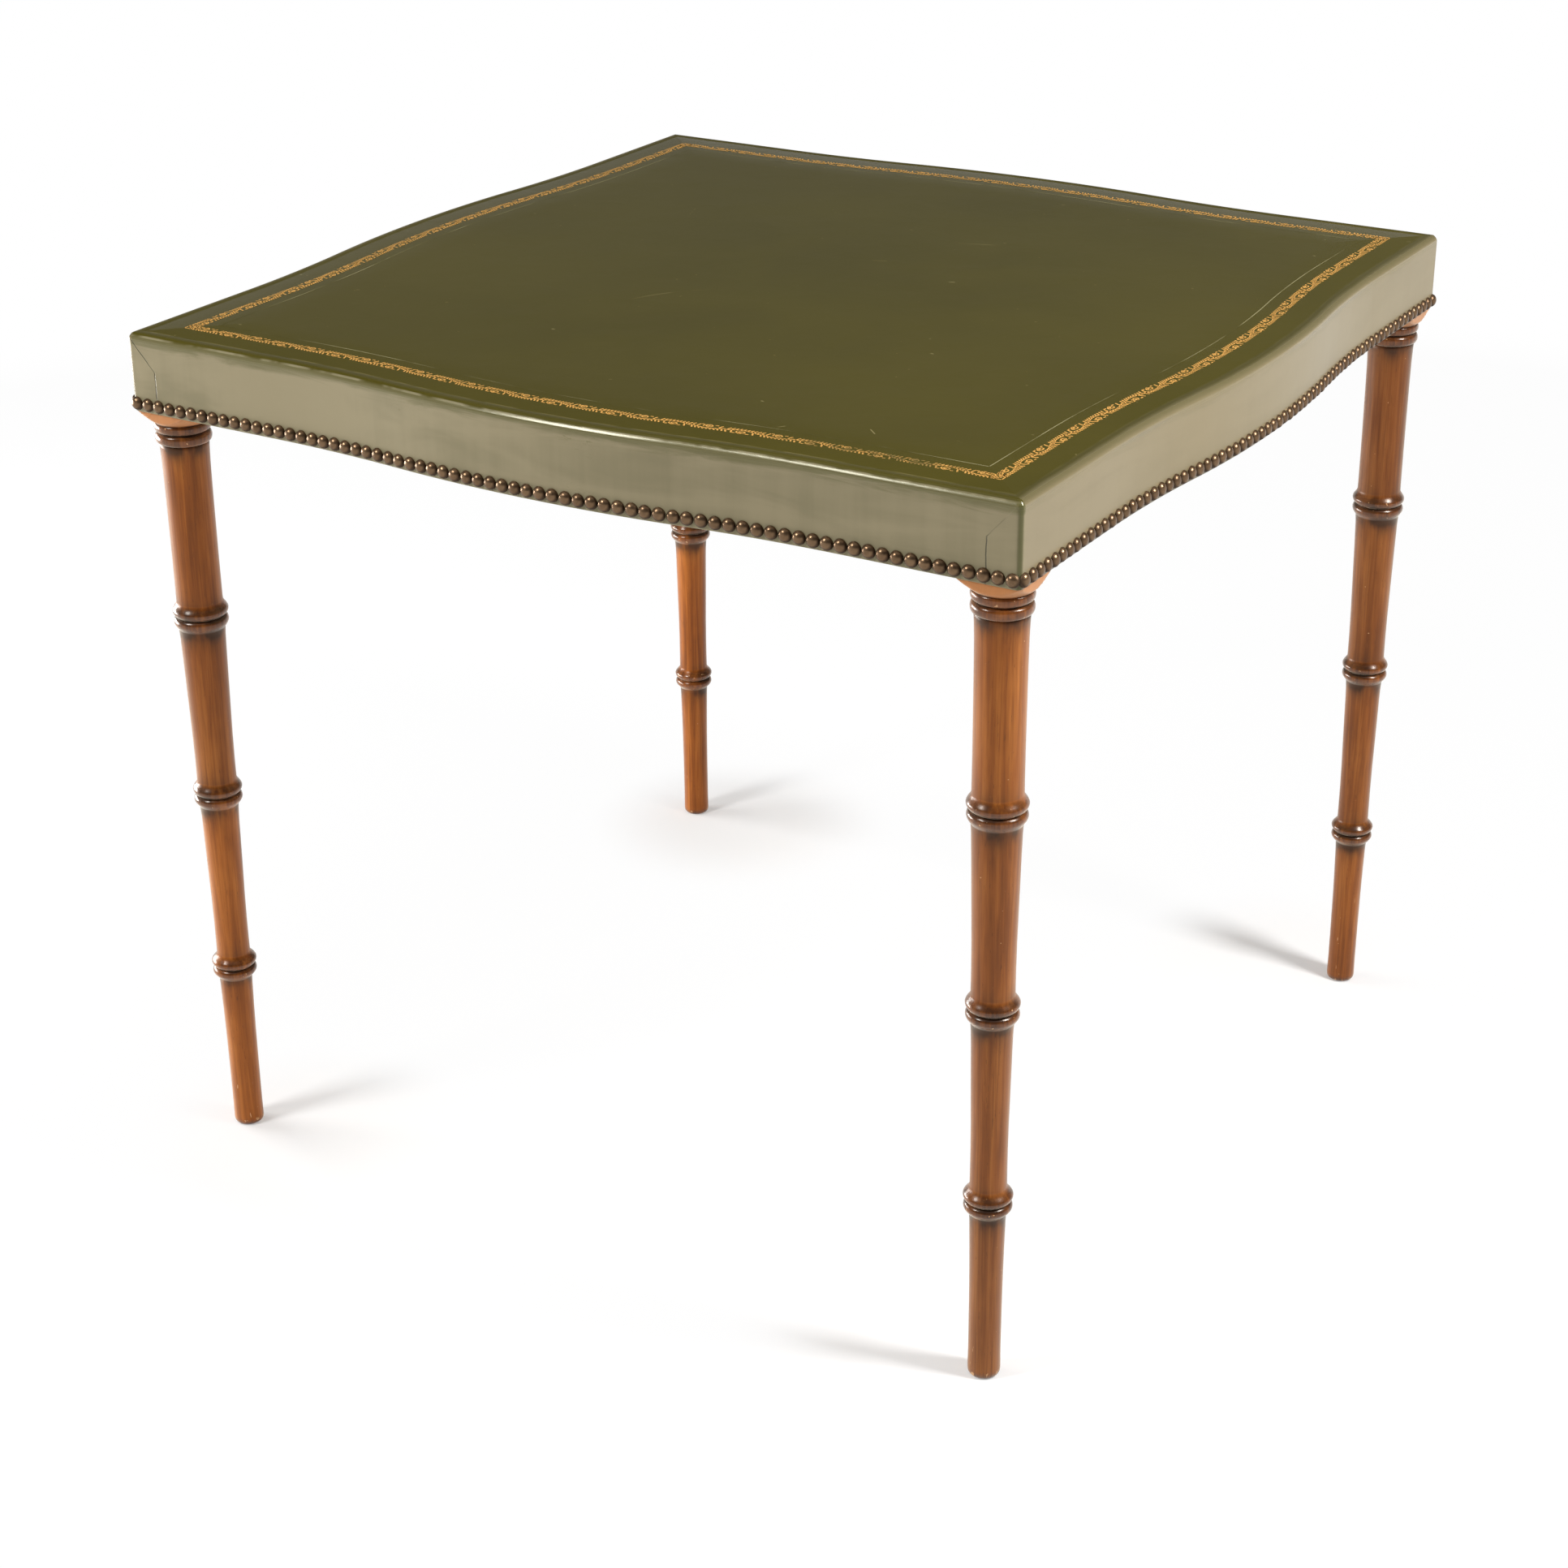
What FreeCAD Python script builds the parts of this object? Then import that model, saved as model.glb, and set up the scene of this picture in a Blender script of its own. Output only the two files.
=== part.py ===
import FreeCAD, Part
import math
import os
import types

import Sketcher

# A square card table: a leather-covered top with bowed sides on four legs turned as bamboo.
# Millimetres. The origin is on the floor under the middle of the top, +Z is up, the front is -Y.

doc = FreeCAD.newDocument("CardTable")
Vector = FreeCAD.Vector

# Driving dimensions, each written once
sizes = {
    # outline of the wooden carcass, seen from above
    "table_height": 730.0,
    "side_length": 792.0,
    "bow_depth": 15.0,
    "bow_half_length": 255.0,
    # thicknesses and heights of the top
    "leather_thickness": 1.5,
    "panel_thickness": 16.0,
    "lipping_width": 10.0,
    "edge_radius": 2.5,
    "corner_ease": 0.2,
    "hem_width": 14.0,
    # apron rails and their tenons
    "rail_height": 45.5,
    "rail_thickness": 22.0,
    "tenon_length": 30.0,
    "tenon_thickness": 9.0,
    "tenon_shoulder": 9.0,
    "mortise_clearance": 0.1,
    # square post at the head of each leg
    "post_width": 50.0,
    "post_drop": 1.0,
    "shoulder_height": 11.0,
    # collar under the post
    "collar_diameter": 45.8,
    "collar_neck_diameter": 43.4,
    "collar_height": 7.5,
    "collar_bead_diameter": 44.6,
    "collar_groove": 0.8,
    "collar_groove_depth": 1.6,
    # bamboo nodes: height of the groove between the two rings, and the size over the upper ring
    "node_high": 486.8,
    "node_middle": 324.3,
    "node_low": 158.6,
    "ring_high": 45.8,
    "ring_middle": 41.2,
    "ring_low": 38.4,
    "upper_bead": 8.8,
    "lower_bead": 8.0,
    "lower_bead_set_in": 0.7,
    "node_groove_depth": 3.0,
    "flare_height": 14.0,
    # diameters of the lengths between the nodes, at their upper and lower ends
    "first_upper": 39.2,
    "first_lower": 37.6,
    "second_upper": 37.0,
    "second_lower": 32.8,
    "third_upper": 31.6,
    "third_lower": 28.1,
    "foot_upper": 27.8,
    "foot_lower": 25.4,
    "foot_rounding": 3.0,
    # nails
    "nail_head_diameter": 11.0,
    "nail_head_height": 4.0,
    "nail_shank_diameter": 1.6,
    "nail_shank_length": 10.5,
    "nail_clipped_length": 4.5,
    "nail_pitch": 11.25,
    "nail_corner_gap": 5.6,
    "nail_rise": 7.0,
    # corner braces
    "brace_thickness": 20.0,
    "brace_height": 34.0,
    "brace_post_gap": 1.0,
    "brace_screw_seat": 10.0,
    # cleats
    "cleat_width": 18.0,
    "cleat_length": 440.0,
    "cleat_screw_inset": 40.0,
    "cleat_screw_offset": 60.0,
    # wood screws
    "screw_diameter": 4.0,
    "screw_head_diameter": 8.0,
    "screw_head_height": 2.4,
    "screw_slot_width": 1.0,
    "screw_slot_depth": 1.0,
    "screw_bite_panel": 11.0,
    "screw_bite_rail": 14.0,
    "screw_tip_length": 4.0,
}

sheet = doc.addObject("Spreadsheet::Sheet", "Sizes")
for row, (alias, value) in enumerate(sizes.items(), start=1):
    sheet.set("A%d" % row, alias)
    sheet.set("B%d" % row, str(value))
    sheet.setAlias("B%d" % row, alias)
doc.recompute()


class Size:
    """A length that carries its value and the expression that gives it from the sheet."""

    def __init__(self, value, text):
        self.value = value
        self.text = text

    def __add__(self, other):
        other = as_size(other)
        return Size(self.value + other.value, "(%s + %s)" % (self.text, other.text))

    def __sub__(self, other):
        other = as_size(other)
        return Size(self.value - other.value, "(%s - %s)" % (self.text, other.text))

    def __mul__(self, other):
        other = as_size(other)
        return Size(self.value * other.value, "(%s * %s)" % (self.text, other.text))

    def __truediv__(self, other):
        other = as_size(other)
        return Size(self.value / other.value, "(%s / %s)" % (self.text, other.text))

    def __neg__(self):
        return Size(-self.value, "(0 - %s)" % self.text)


def as_size(number):
    if isinstance(number, Size):
        return number
    return Size(float(number), repr(float(number)))


zero = as_size(0)
size = types.SimpleNamespace(**{name: Size(value, "Sizes." + name) for name, value in sizes.items()})

# Heights and places that follow from the driving dimensions
half_side = size.side_length / 2
wood_top = size.table_height - size.leather_thickness
panel_bottom = wood_top - size.panel_thickness
rail_bottom = panel_bottom - size.rail_height
hem_bottom = rail_bottom - size.leather_thickness
post_inner = half_side - size.post_width
leg_axis = half_side - size.post_width / 2
rail_inner = half_side - size.rail_thickness
nail_height = hem_bottom + size.nail_rise
arris_radius = size.edge_radius + size.corner_ease

# Each bow is two tangent arcs of one radius, bending away from the straight and then back
bow_radius = (size.bow_half_length * size.bow_half_length + size.bow_depth * size.bow_depth) / (
    size.bow_depth * 4)
bow_angle = math.asin(size.bow_half_length.value / 2 / bow_radius.value)

sides = {"front": 0, "right": 90, "back": 180, "left": 270}
corners = {"front_left": 0, "front_right": 90, "back_right": 180, "back_left": 270}


def bind(item, prop, length):
    item.setExpression(prop, as_size(length).text)


def move(item, x=zero, y=zero, z=zero):
    for axis, place in zip("xyz", (x, y, z)):
        if place is not zero:
            bind(item, "Placement.Base." + axis, place)


def turn(item, degrees, center=Vector(0, 0, 0)):
    spin = FreeCAD.Placement(Vector(0, 0, 0), FreeCAD.Rotation(Vector(0, 0, 1), degrees), center)
    item.Placement = spin.multiply(item.Placement)


def new_body(name):
    return doc.addObject("PartDesign::Body", name)


def new_sketch(body, name, role, height=None):
    plane = [item for item in body.Origin.OriginFeatures if item.Role == role][0]
    sketch = body.newObject("Sketcher::SketchObject", name)
    sketch.AttachmentSupport = [(plane, "")]
    sketch.MapMode = "FlatFace"
    if height is not None:
        bind(sketch, "AttachmentOffset.Base.z", height)
    return sketch


def draw(sketch, points, bends=None):
    """Draw a closed outline through points. bends gives an edge's radius and the side it swells to."""
    bends = bends or {}
    count = len(points)
    places = [Vector(x.value, y.value, 0) for x, y in points]
    edges = []
    for index, start in enumerate(places):
        end = places[(index + 1) % count]
        if index not in bends:
            number = sketch.addGeometry(Part.LineSegment(start, end), False)
            edges.append((number, 1, 2))
            continue
        # a sketch keeps its arcs turning to the left, so a hollow one runs from its end to its start
        radius, swell = bends[index]
        chord = end - start
        across = Vector(chord.y, -chord.x, 0).normalize()
        rise = radius.value - math.sqrt(radius.value ** 2 - chord.Length ** 2 / 4)
        middle = (start + end) * 0.5 + across * rise * swell
        if swell > 0:
            number = sketch.addGeometry(Part.Arc(start, middle, end), False)
            edges.append((number, 1, 2))
        else:
            number = sketch.addGeometry(Part.Arc(end, middle, start), False)
            edges.append((number, 2, 1))
        note = sketch.addConstraint(Sketcher.Constraint("Radius", number, radius.value))
        sketch.setExpression("Constraints[%d]" % note, radius.text)
    for index, (number, start_end, _) in enumerate(edges):
        before, _, before_end = edges[index - 1]
        sketch.addConstraint(Sketcher.Constraint("Coincident", before, before_end, number, start_end))
        for kind, length, axis in zip(("DistanceX", "DistanceY"), points[index], (-2, -1)):
            if length is zero:
                sketch.addConstraint(Sketcher.Constraint("PointOnObject", number, start_end, axis))
                continue
            note = sketch.addConstraint(
                Sketcher.Constraint(kind, -1, 1, number, start_end, length.value))
            sketch.setExpression("Constraints[%d]" % note, length.text)
    doc.recompute([sketch])


def pad(body, name, sketch, length):
    feature = body.newObject("PartDesign::Pad", name)
    feature.Profile = sketch
    bind(feature, "Length", length)
    doc.recompute([feature])
    return feature


def revolve(body, name, sketch, kind="PartDesign::Revolution"):
    feature = body.newObject(kind, name)
    feature.Profile = sketch
    feature.ReferenceAxis = (sketch, ["V_Axis"])
    feature.Angle = 360
    doc.recompute([feature])
    return feature


def add_box(body, name, length, width, height, x, y, z, kind="PartDesign::AdditiveBox"):
    feature = body.newObject(kind, name)
    bind(feature, "Length", length)
    bind(feature, "Width", width)
    bind(feature, "Height", height)
    move(feature, x, y, z)
    doc.recompute([feature])
    return feature


def fillet(body, name, base, radius, chosen):
    feature = body.newObject("PartDesign::Fillet", name)
    names = ["Edge%d" % (index + 1) for index, edge in enumerate(base.Shape.Edges) if chosen(edge)]
    feature.Base = (base, names)
    bind(feature, "Radius", radius)
    doc.recompute([feature])
    return feature


def cut(name, base, tool):
    item = doc.addObject("Part::Cut", name)
    item.Base = base
    item.Tool = tool
    return item


def common(name, base, tool):
    item = doc.addObject("Part::Common", name)
    item.Base = base
    item.Tool = tool
    return item


def group(name, shapes):
    item = doc.addObject("Part::Feature", name)
    item.Shape = Part.makeCompound(shapes)
    return item


def placed(shape, place):
    copy = shape.copy()
    copy.Placement = place.multiply(shape.Placement)
    return copy


def side_turn(side):
    return FreeCAD.Placement(Vector(0, 0, 0), FreeCAD.Rotation(Vector(0, 0, 1), sides[side]))


def spot(x, y, z, spin=0, tilt=0):
    """Place of a fastener that points along +Z, tilted about X and then turned about Z."""
    rotation = FreeCAD.Rotation(Vector(0, 0, 1), spin).multiply(
        FreeCAD.Rotation(Vector(1, 0, 0), tilt))
    return FreeCAD.Placement(Vector(x, y, z), rotation)


def bowed_side(offset):
    """Corner, bow and joints of the front side, grown outwards by offset, from left to right."""
    corner = half_side + offset
    joint_x = size.bow_half_length / 2 * (offset / bow_radius + 1)
    joint_y = half_side + size.bow_depth / 2 + offset * (as_size(1) - size.bow_depth / (bow_radius * 2))
    points = [
        (-corner, -corner),
        (-size.bow_half_length, -corner),
        (-joint_x, -joint_y),
        (joint_x, -joint_y),
        (size.bow_half_length, -corner),
    ]
    hollow = bow_radius - offset
    swollen = bow_radius + offset
    bends = {1: (hollow, -1), 2: (swollen, 1), 3: (hollow, -1)}
    return points, bends


def draw_outline(sketch, offset):
    """The whole outline of the table, seen from above, grown outwards by offset."""
    points, bends = bowed_side(offset)
    outline = []
    curves = {}
    for turn_number in range(4):
        first = len(outline)
        for x, y in points:
            for _ in range(turn_number):
                x, y = -y, x
            outline.append((x, y))
        for index, bend in bends.items():
            curves[first + index] = bend
    draw(sketch, outline, curves)


def slab(name, offset, bottom, top):
    """A plate of the table's outline, grown outwards by offset, between two heights."""
    body = new_body(name)
    sketch = new_sketch(body, name + "_outline", "XY_Plane", bottom)
    draw_outline(sketch, offset)
    return body, pad(body, name + "_pad", sketch, top - bottom)


def at_height(height):
    return lambda edge: all(abs(point.Z - height.value) < 1e-6 for point in edge.Vertexes)


def at_corner(edge):
    upright = abs(edge.BoundBox.ZLength - edge.Length) < 1e-6
    place = edge.Vertexes[0].Point
    return upright and abs(abs(place.x) - abs(place.y)) < 1e-6


# Envelope of the wooden carcass: what the leather is stretched over
carcass, carcass_pad = slab("carcass", zero, rail_bottom, wood_top)
carcass_arris = fillet(carcass, "carcass_arris", carcass_pad, arris_radius, at_corner)
fillet(carcass, "carcass_edge", carcass_arris, size.edge_radius, at_height(wood_top))


# Nails: a domed head whose flat underside is at the origin, with the shank along +Z
def nail_body(name, shank_length):
    body = new_body(name)
    sketch = new_sketch(body, name + "_profile", "XZ_Plane")
    head_radius = size.nail_head_diameter / 2
    shank_radius = size.nail_shank_diameter / 2
    dome_radius = (head_radius * head_radius + size.nail_head_height * size.nail_head_height) / (
        size.nail_head_height * 2)
    points = [
        (zero, -size.nail_head_height),
        (head_radius, zero),
        (shank_radius, zero),
        (shank_radius, shank_length - shank_radius),
        (zero, shank_length),
    ]
    draw(sketch, points, {0: (dome_radius, 1)})
    revolve(body, name + "_turned", sketch)
    doc.recompute([body])
    return body


nail = nail_body("nail", size.nail_shank_length)
clipped_nail = nail_body("clipped_nail", size.nail_clipped_length)


def along_side(distance, offset):
    """Point and outward angle at a distance along the front side, from its left corner."""
    radius = bow_radius.value
    straight = half_side.value + offset - size.bow_half_length.value
    hollow = (radius - offset) * bow_angle
    swollen = (radius + offset) * bow_angle * 2
    level = -half_side.value - offset
    if distance <= straight:
        return -half_side.value - offset + distance, level, 0.0
    distance -= straight
    if distance <= hollow:
        angle = distance / (radius - offset)
        x = -size.bow_half_length.value + (radius - offset) * math.sin(angle)
        return x, level - (radius - offset) * (1 - math.cos(angle)), -angle
    distance -= hollow
    angle = bow_angle - distance / (radius + offset)
    middle = -half_side.value - size.bow_depth.value + radius
    return -(radius + offset) * math.sin(angle), middle - (radius + offset) * math.cos(angle), -angle


def nail_row():
    """Places of the nails of the front side, each pointing into the apron."""
    offset = size.leather_thickness.value
    length = 2 * (half_side.value + offset - size.bow_half_length.value)
    length += 2 * (bow_radius.value - offset) * bow_angle
    length += 2 * (bow_radius.value + offset) * bow_angle
    gap = size.nail_corner_gap.value
    steps = round((length - 2 * gap) / size.nail_pitch.value)
    places = []
    for number in range(steps + 1):
        distance = gap + (length - 2 * gap) * number / steps
        mirrored = distance > length / 2
        x, y, angle = along_side(min(distance, length - distance), offset)
        if mirrored:
            x = -x
            angle = -angle
        places.append(spot(x, y, nail_height.value, math.degrees(angle), -90))
    return places


def pilot_hole(length):
    return Part.makeCylinder(size.nail_shank_diameter.value / 2, length.value)


front_nails = nail_row()
last_nail = len(front_nails) - 1
nails = {}
pilot_holes = []
for side in sides:
    shapes = []
    for number, place in enumerate(front_nails):
        at_end = number in (0, last_nail)
        shape = clipped_nail.Shape if at_end else nail.Shape
        hole = pilot_hole(size.nail_clipped_length if at_end else size.nail_shank_length)
        shapes.append(placed(shape, side_turn(side).multiply(place)))
        pilot_holes.append(placed(hole, side_turn(side).multiply(place)))
    nails[side] = group("nails_" + side, shapes)


def reaching(shapes, blank):
    """The shapes, out of a list, that reach into a blank's box."""
    box = blank.Shape.BoundBox
    return [shape for shape in shapes if box.intersect(shape.BoundBox)]


# Legs: turned from a square blank. Each is drawn with its two inner faces towards +X and +Y
rings = [
    (size.node_high, size.ring_high),
    (size.node_middle, size.ring_middle),
    (size.node_low, size.ring_low),
]
lengths = [
    (size.first_upper, size.first_lower),
    (size.second_upper, size.second_lower),
    (size.third_upper, size.third_lower),
    (size.foot_upper, size.foot_lower),
]
post_bottom = rail_bottom - size.post_drop
shoulder_bottom = post_bottom - size.shoulder_height
collar_bottom = shoulder_bottom - size.collar_height


def bead_radius(height, swell):
    """Radius of the arc that stands out by swell over a bead's height."""
    return (height * height / 4 + swell * swell) / (swell * 2)


def turned_profile():
    """Half section of the turned length, from the floor up to the shoulder under the post."""
    foot_upper, foot_lower = lengths[3]
    points = [
        (zero, zero),
        (foot_lower / 2 - size.foot_rounding, zero),
        (foot_lower / 2, size.foot_rounding),
    ]
    bends = {1: (size.foot_rounding, 1)}
    upper = foot_upper
    lower_swell = size.node_groove_depth - size.lower_bead_set_in
    for number in (2, 1, 0):
        height, ring = rings[number]
        neck = ring / 2 - size.node_groove_depth
        points.append((upper / 2, height - size.lower_bead - size.flare_height))
        bends[len(points)] = (bead_radius(size.lower_bead, lower_swell), 1)
        points.append((neck, height - size.lower_bead))
        bends[len(points)] = (bead_radius(size.upper_bead, size.node_groove_depth), 1)
        points.append((neck, height))
        points.append((neck, height + size.upper_bead))
        points.append((lengths[number][1] / 2, height + size.upper_bead + size.flare_height / 2))
        upper = lengths[number][0]
    neck = size.collar_neck_diameter / 2 - size.collar_groove_depth
    bead_top = collar_bottom - size.collar_groove
    bead_bottom = bead_top - size.upper_bead
    points.append((upper / 2, bead_bottom - size.flare_height / 2))
    bends[len(points)] = (bead_radius(size.upper_bead, size.collar_bead_diameter / 2 - neck), 1)
    points.append((neck, bead_bottom))
    points.append((neck, bead_top))
    points.append((neck, collar_bottom))
    points.append((size.collar_neck_diameter / 2, collar_bottom))
    points.append((size.collar_diameter / 2, shoulder_bottom))
    points.append((zero, shoulder_bottom))
    return points, bends


def outer_arris(edge):
    return at_corner(edge) and edge.Vertexes[0].X < 0 and edge.Vertexes[0].Y < 0


def leg_body(corner):
    body = new_body("blank_" + corner)
    profile = new_sketch(body, "profile_" + corner, "XZ_Plane")
    points, bends = turned_profile()
    draw(profile, points, bends)
    revolve(body, "turning_" + corner, profile)
    half_post = size.post_width / 2
    post = add_box(body, "post_" + corner, size.post_width, size.post_width,
                   panel_bottom - shoulder_bottom, -half_post, -half_post, shoulder_bottom)
    fillet(body, "arris_" + corner, post, arris_radius, outer_arris)
    shoulder = new_sketch(body, "shoulder_" + corner, "XZ_Plane")
    points = [
        (size.collar_diameter / 2, shoulder_bottom),
        (size.post_width, shoulder_bottom),
        (size.post_width, post_bottom),
        (size.post_width * math.sqrt(0.5), post_bottom),
    ]
    draw(shoulder, points)
    revolve(body, "shoulder_cut_" + corner, shoulder, "PartDesign::Groove")
    # the mortises hold the tenons of the two rails that meet here
    fit = size.mortise_clearance
    depth = size.tenon_length + fit
    width = size.tenon_thickness + fit * 2
    height = size.rail_height - size.tenon_shoulder * 2 + fit * 2
    near = -half_post + size.rail_thickness / 2 - width / 2
    bottom = rail_bottom + size.tenon_shoulder - fit
    add_box(body, "mortise_x_" + corner, depth, width, height, half_post - depth, near, bottom,
            "PartDesign::SubtractiveBox")
    add_box(body, "mortise_y_" + corner, width, depth, height, near, half_post - depth, bottom,
            "PartDesign::SubtractiveBox")
    body.Placement = FreeCAD.Placement(Vector(0, 0, 0), FreeCAD.Rotation(Vector(0, 0, 1), corners[corner]))
    across = leg_axis if corner.endswith("right") else -leg_axis
    inward = leg_axis if corner.startswith("back") else -leg_axis
    move(body, across, inward)
    doc.recompute([body])
    return body


parts = []
for corner in corners:
    blank = leg_body(corner)
    holes = reaching(pilot_holes, blank)
    parts.append(cut("leg_" + corner, blank, group("leg_holes_" + corner, holes)))


# Screws: a countersunk head whose top is at the origin, with the shank along +Z
def screw_body(name, length):
    body = new_body(name)
    sketch = new_sketch(body, name + "_profile", "XZ_Plane")
    radius = size.screw_diameter / 2
    points = [
        (zero, zero),
        (size.screw_head_diameter / 2, zero),
        (radius, size.screw_head_height),
        (radius, length - size.screw_tip_length),
        (zero, length),
    ]
    draw(sketch, points)
    turned = revolve(body, name + "_turned", sketch)
    slot_length = size.screw_head_diameter
    add_box(body, name + "_slot", slot_length, size.screw_slot_width, size.screw_slot_depth,
            -slot_length / 2, -size.screw_slot_width / 2, zero, "PartDesign::SubtractiveBox")
    doc.recompute([body])
    return body.Shape, turned.Shape


panel_screw, panel_screw_hole = screw_body("panel_screw", size.cleat_width + size.screw_bite_panel)
cleat_screw, cleat_screw_hole = screw_body("cleat_screw", size.cleat_width + size.screw_bite_rail)
brace_screw, brace_screw_hole = screw_body("brace_screw", size.brace_screw_seat + size.screw_bite_rail)

# Places of the screws on the front side and, for the braces, at both of its ends
cleat_inner = rail_inner - size.cleat_width
cleat_middle = rail_inner - size.cleat_width / 2
cleat_bottom = panel_bottom - size.cleat_width
end_screw = size.cleat_length / 2 - size.cleat_screw_inset
brace_bottom = rail_bottom + (size.rail_height - size.brace_height) / 2
brace_outer = post_inner * 2 - size.brace_post_gap * 2 - rail_inner
brace_back = brace_outer - size.brace_thickness * math.sqrt(2)
brace_screw_x = (brace_outer + brace_back) / 2
brace_seat = rail_inner - size.brace_screw_seat

panel_screw_places = []
for x in (-end_screw.value, 0, end_screw.value):
    panel_screw_places.append(spot(x, -cleat_middle.value, cleat_bottom.value))
cleat_screw_places = []
for x in (-size.cleat_screw_offset.value * 2, size.cleat_screw_offset.value * 2):
    middle = panel_bottom.value - size.cleat_width.value / 2
    cleat_screw_places.append(spot(x, -cleat_inner.value, middle, 0, 90))
brace_screw_places = []
for x in (-brace_screw_x.value, brace_screw_x.value):
    brace_screw_places.append(spot(x, -brace_seat.value, brace_bottom.value + size.brace_height.value / 2, 0, 90))


def every_side(shape, places):
    return [placed(shape, side_turn(side).multiply(place)) for side in sides for place in places]


panel_holes = group("panel_screw_holes", every_side(panel_screw_hole, panel_screw_places))
cleat_holes = group("cleat_screw_holes", every_side(cleat_screw_hole, cleat_screw_places))
brace_holes = group("brace_screw_holes", every_side(brace_screw_hole, brace_screw_places))
parts.append(group("panel_screws", every_side(panel_screw, panel_screw_places)))
parts.append(group("cleat_screws", every_side(cleat_screw, cleat_screw_places)))
parts.append(group("brace_screws", every_side(brace_screw, brace_screw_places)))


# Rails: bowed outside, straight inside, with a tenon at each end
def rail_body(side):
    body = new_body("rail_blank_" + side)
    sketch = new_sketch(body, "rail_outline_" + side, "XY_Plane", rail_bottom)
    points, bends = bowed_side(zero)
    outline = [(-post_inner, -half_side)] + points[1:]
    outline += [(post_inner, -half_side), (post_inner, -rail_inner), (-post_inner, -rail_inner)]
    draw(sketch, outline, bends)
    pad(body, "rail_pad_" + side, sketch, size.rail_height)
    height = size.rail_height - size.tenon_shoulder * 2
    level = -half_side + (size.rail_thickness - size.tenon_thickness) / 2
    for name, start in (("left", -post_inner - size.tenon_length), ("right", post_inner)):
        add_box(body, "%s_tenon_%s" % (name, side), size.tenon_length, size.tenon_thickness, height,
                start, level, rail_bottom + size.tenon_shoulder)
    turn(body, sides[side])
    doc.recompute([body])
    return body


for side in sides:
    blank = rail_body(side)
    holes = reaching(pilot_holes + cleat_holes.Shape.Solids + brace_holes.Shape.Solids, blank)
    parts.append(cut("rail_" + side, blank, group("rail_holes_" + side, holes)))

# Top panel, inside its lippings
panel, panel_pad = slab("panel_blank", -size.lipping_width, panel_bottom, wood_top)
parts.append(cut("top_panel", panel, panel_holes))

# Lippings: the rim of the carcass at the panel's height, mitred into four
for side in sides:
    wedge = new_body("mitre_" + side)
    sketch = new_sketch(wedge, "mitre_outline_" + side, "XY_Plane", panel_bottom)
    reach = size.side_length
    draw(sketch, [(zero, zero), (-reach, -reach), (reach, -reach)])
    pad(wedge, "mitre_pad_" + side, sketch, size.panel_thickness)
    turn(wedge, sides[side])
    doc.recompute([wedge])
    rim = common("rim_" + side, carcass, wedge)
    parts.append(cut("lipping_" + side, rim, panel))


# Corner braces: boards set across the corners behind the posts, screwed to both rails
def brace_body(corner):
    body = new_body("brace_blank_" + corner)
    sketch = new_sketch(body, "brace_outline_" + corner, "XY_Plane", brace_bottom)
    points = [
        (-rail_inner, -brace_outer),
        (-brace_outer, -rail_inner),
        (-brace_back, -rail_inner),
        (-rail_inner, -brace_back),
    ]
    draw(sketch, points)
    pad(body, "brace_pad_" + corner, sketch, size.brace_height)
    turn(body, corners[corner])
    doc.recompute([body])
    return body


def counterbore(place):
    """Clears the way of a brace screw's head out to the slanted face of the brace."""
    length = size.brace_thickness.value * math.sqrt(2)
    return placed(Part.makeCylinder(size.screw_head_diameter.value / 2, length, Vector(0, 0, 0),
                                    Vector(0, 0, -1)), place)


bores = []
for side in sides:
    for place in brace_screw_places:
        bores.append(counterbore(side_turn(side).multiply(place)))
for corner in corners:
    blank = brace_body(corner)
    holes = reaching(brace_holes.Shape.Solids + bores, blank)
    parts.append(cut("corner_brace_" + corner, blank, group("brace_bores_" + corner, holes)))

# Cleats: battens under the panel along the inner face of each rail
for side in sides:
    blank = new_body("cleat_blank_" + side)
    add_box(blank, "batten_" + side, size.cleat_length, size.cleat_width, size.cleat_width,
            -size.cleat_length / 2, -rail_inner, cleat_bottom)
    turn(blank, sides[side])
    doc.recompute([blank])
    holes = reaching(panel_holes.Shape.Solids + cleat_holes.Shape.Solids, blank)
    parts.append(cut("cleat_" + side, blank, group("cleat_bores_" + side, holes)))

# Leather: stretched over the carcass, with its hem turned under the rails and cut at the posts
hide, hide_pad = slab("hide", size.leather_thickness, hem_bottom, size.table_height)
hide_arris = fillet(hide, "hide_arris", hide_pad, arris_radius + size.leather_thickness, at_corner)
fillet(hide, "hide_edge", hide_arris, size.edge_radius + size.leather_thickness,
       at_height(size.table_height))
skin = cut("skin", hide, carcass)
mouth, mouth_pad = slab("mouth", -size.hem_width, hem_bottom, rail_bottom)
for corner in corners:
    spread = -half_side
    add_box(mouth, "leg_hole_" + corner, size.post_width, size.post_width, size.leather_thickness,
            spread if corner.endswith("left") else post_inner,
            spread if corner.startswith("front") else post_inner, hem_bottom)
hemmed = cut("hemmed", skin, mouth)
parts.append(cut("leather_cover", hemmed, group("leather_holes", pilot_holes)))
parts += nails.values()

# Every object has to be sound before anything is written
doc.recompute()
for item in doc.Objects:
    if "Invalid" in item.State or "Error" in item.State:
        raise RuntimeError("%s failed" % item.Label)
for part in parts:
    if part.Shape.isNull() or not part.Shape.isValid():
        raise RuntimeError("%s has no sound shape" % part.Label)

os.makedirs("parts", exist_ok=True)
for part in parts:
    part.Shape.exportStep("parts/%s.step" % part.Label)
    print(part.Label, len(part.Shape.Solids), "solids", round(part.Shape.Volume), "mm3")
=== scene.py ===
import math
import random

import bmesh
import bpy
from mathutils import Matrix, Vector, noise


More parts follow.
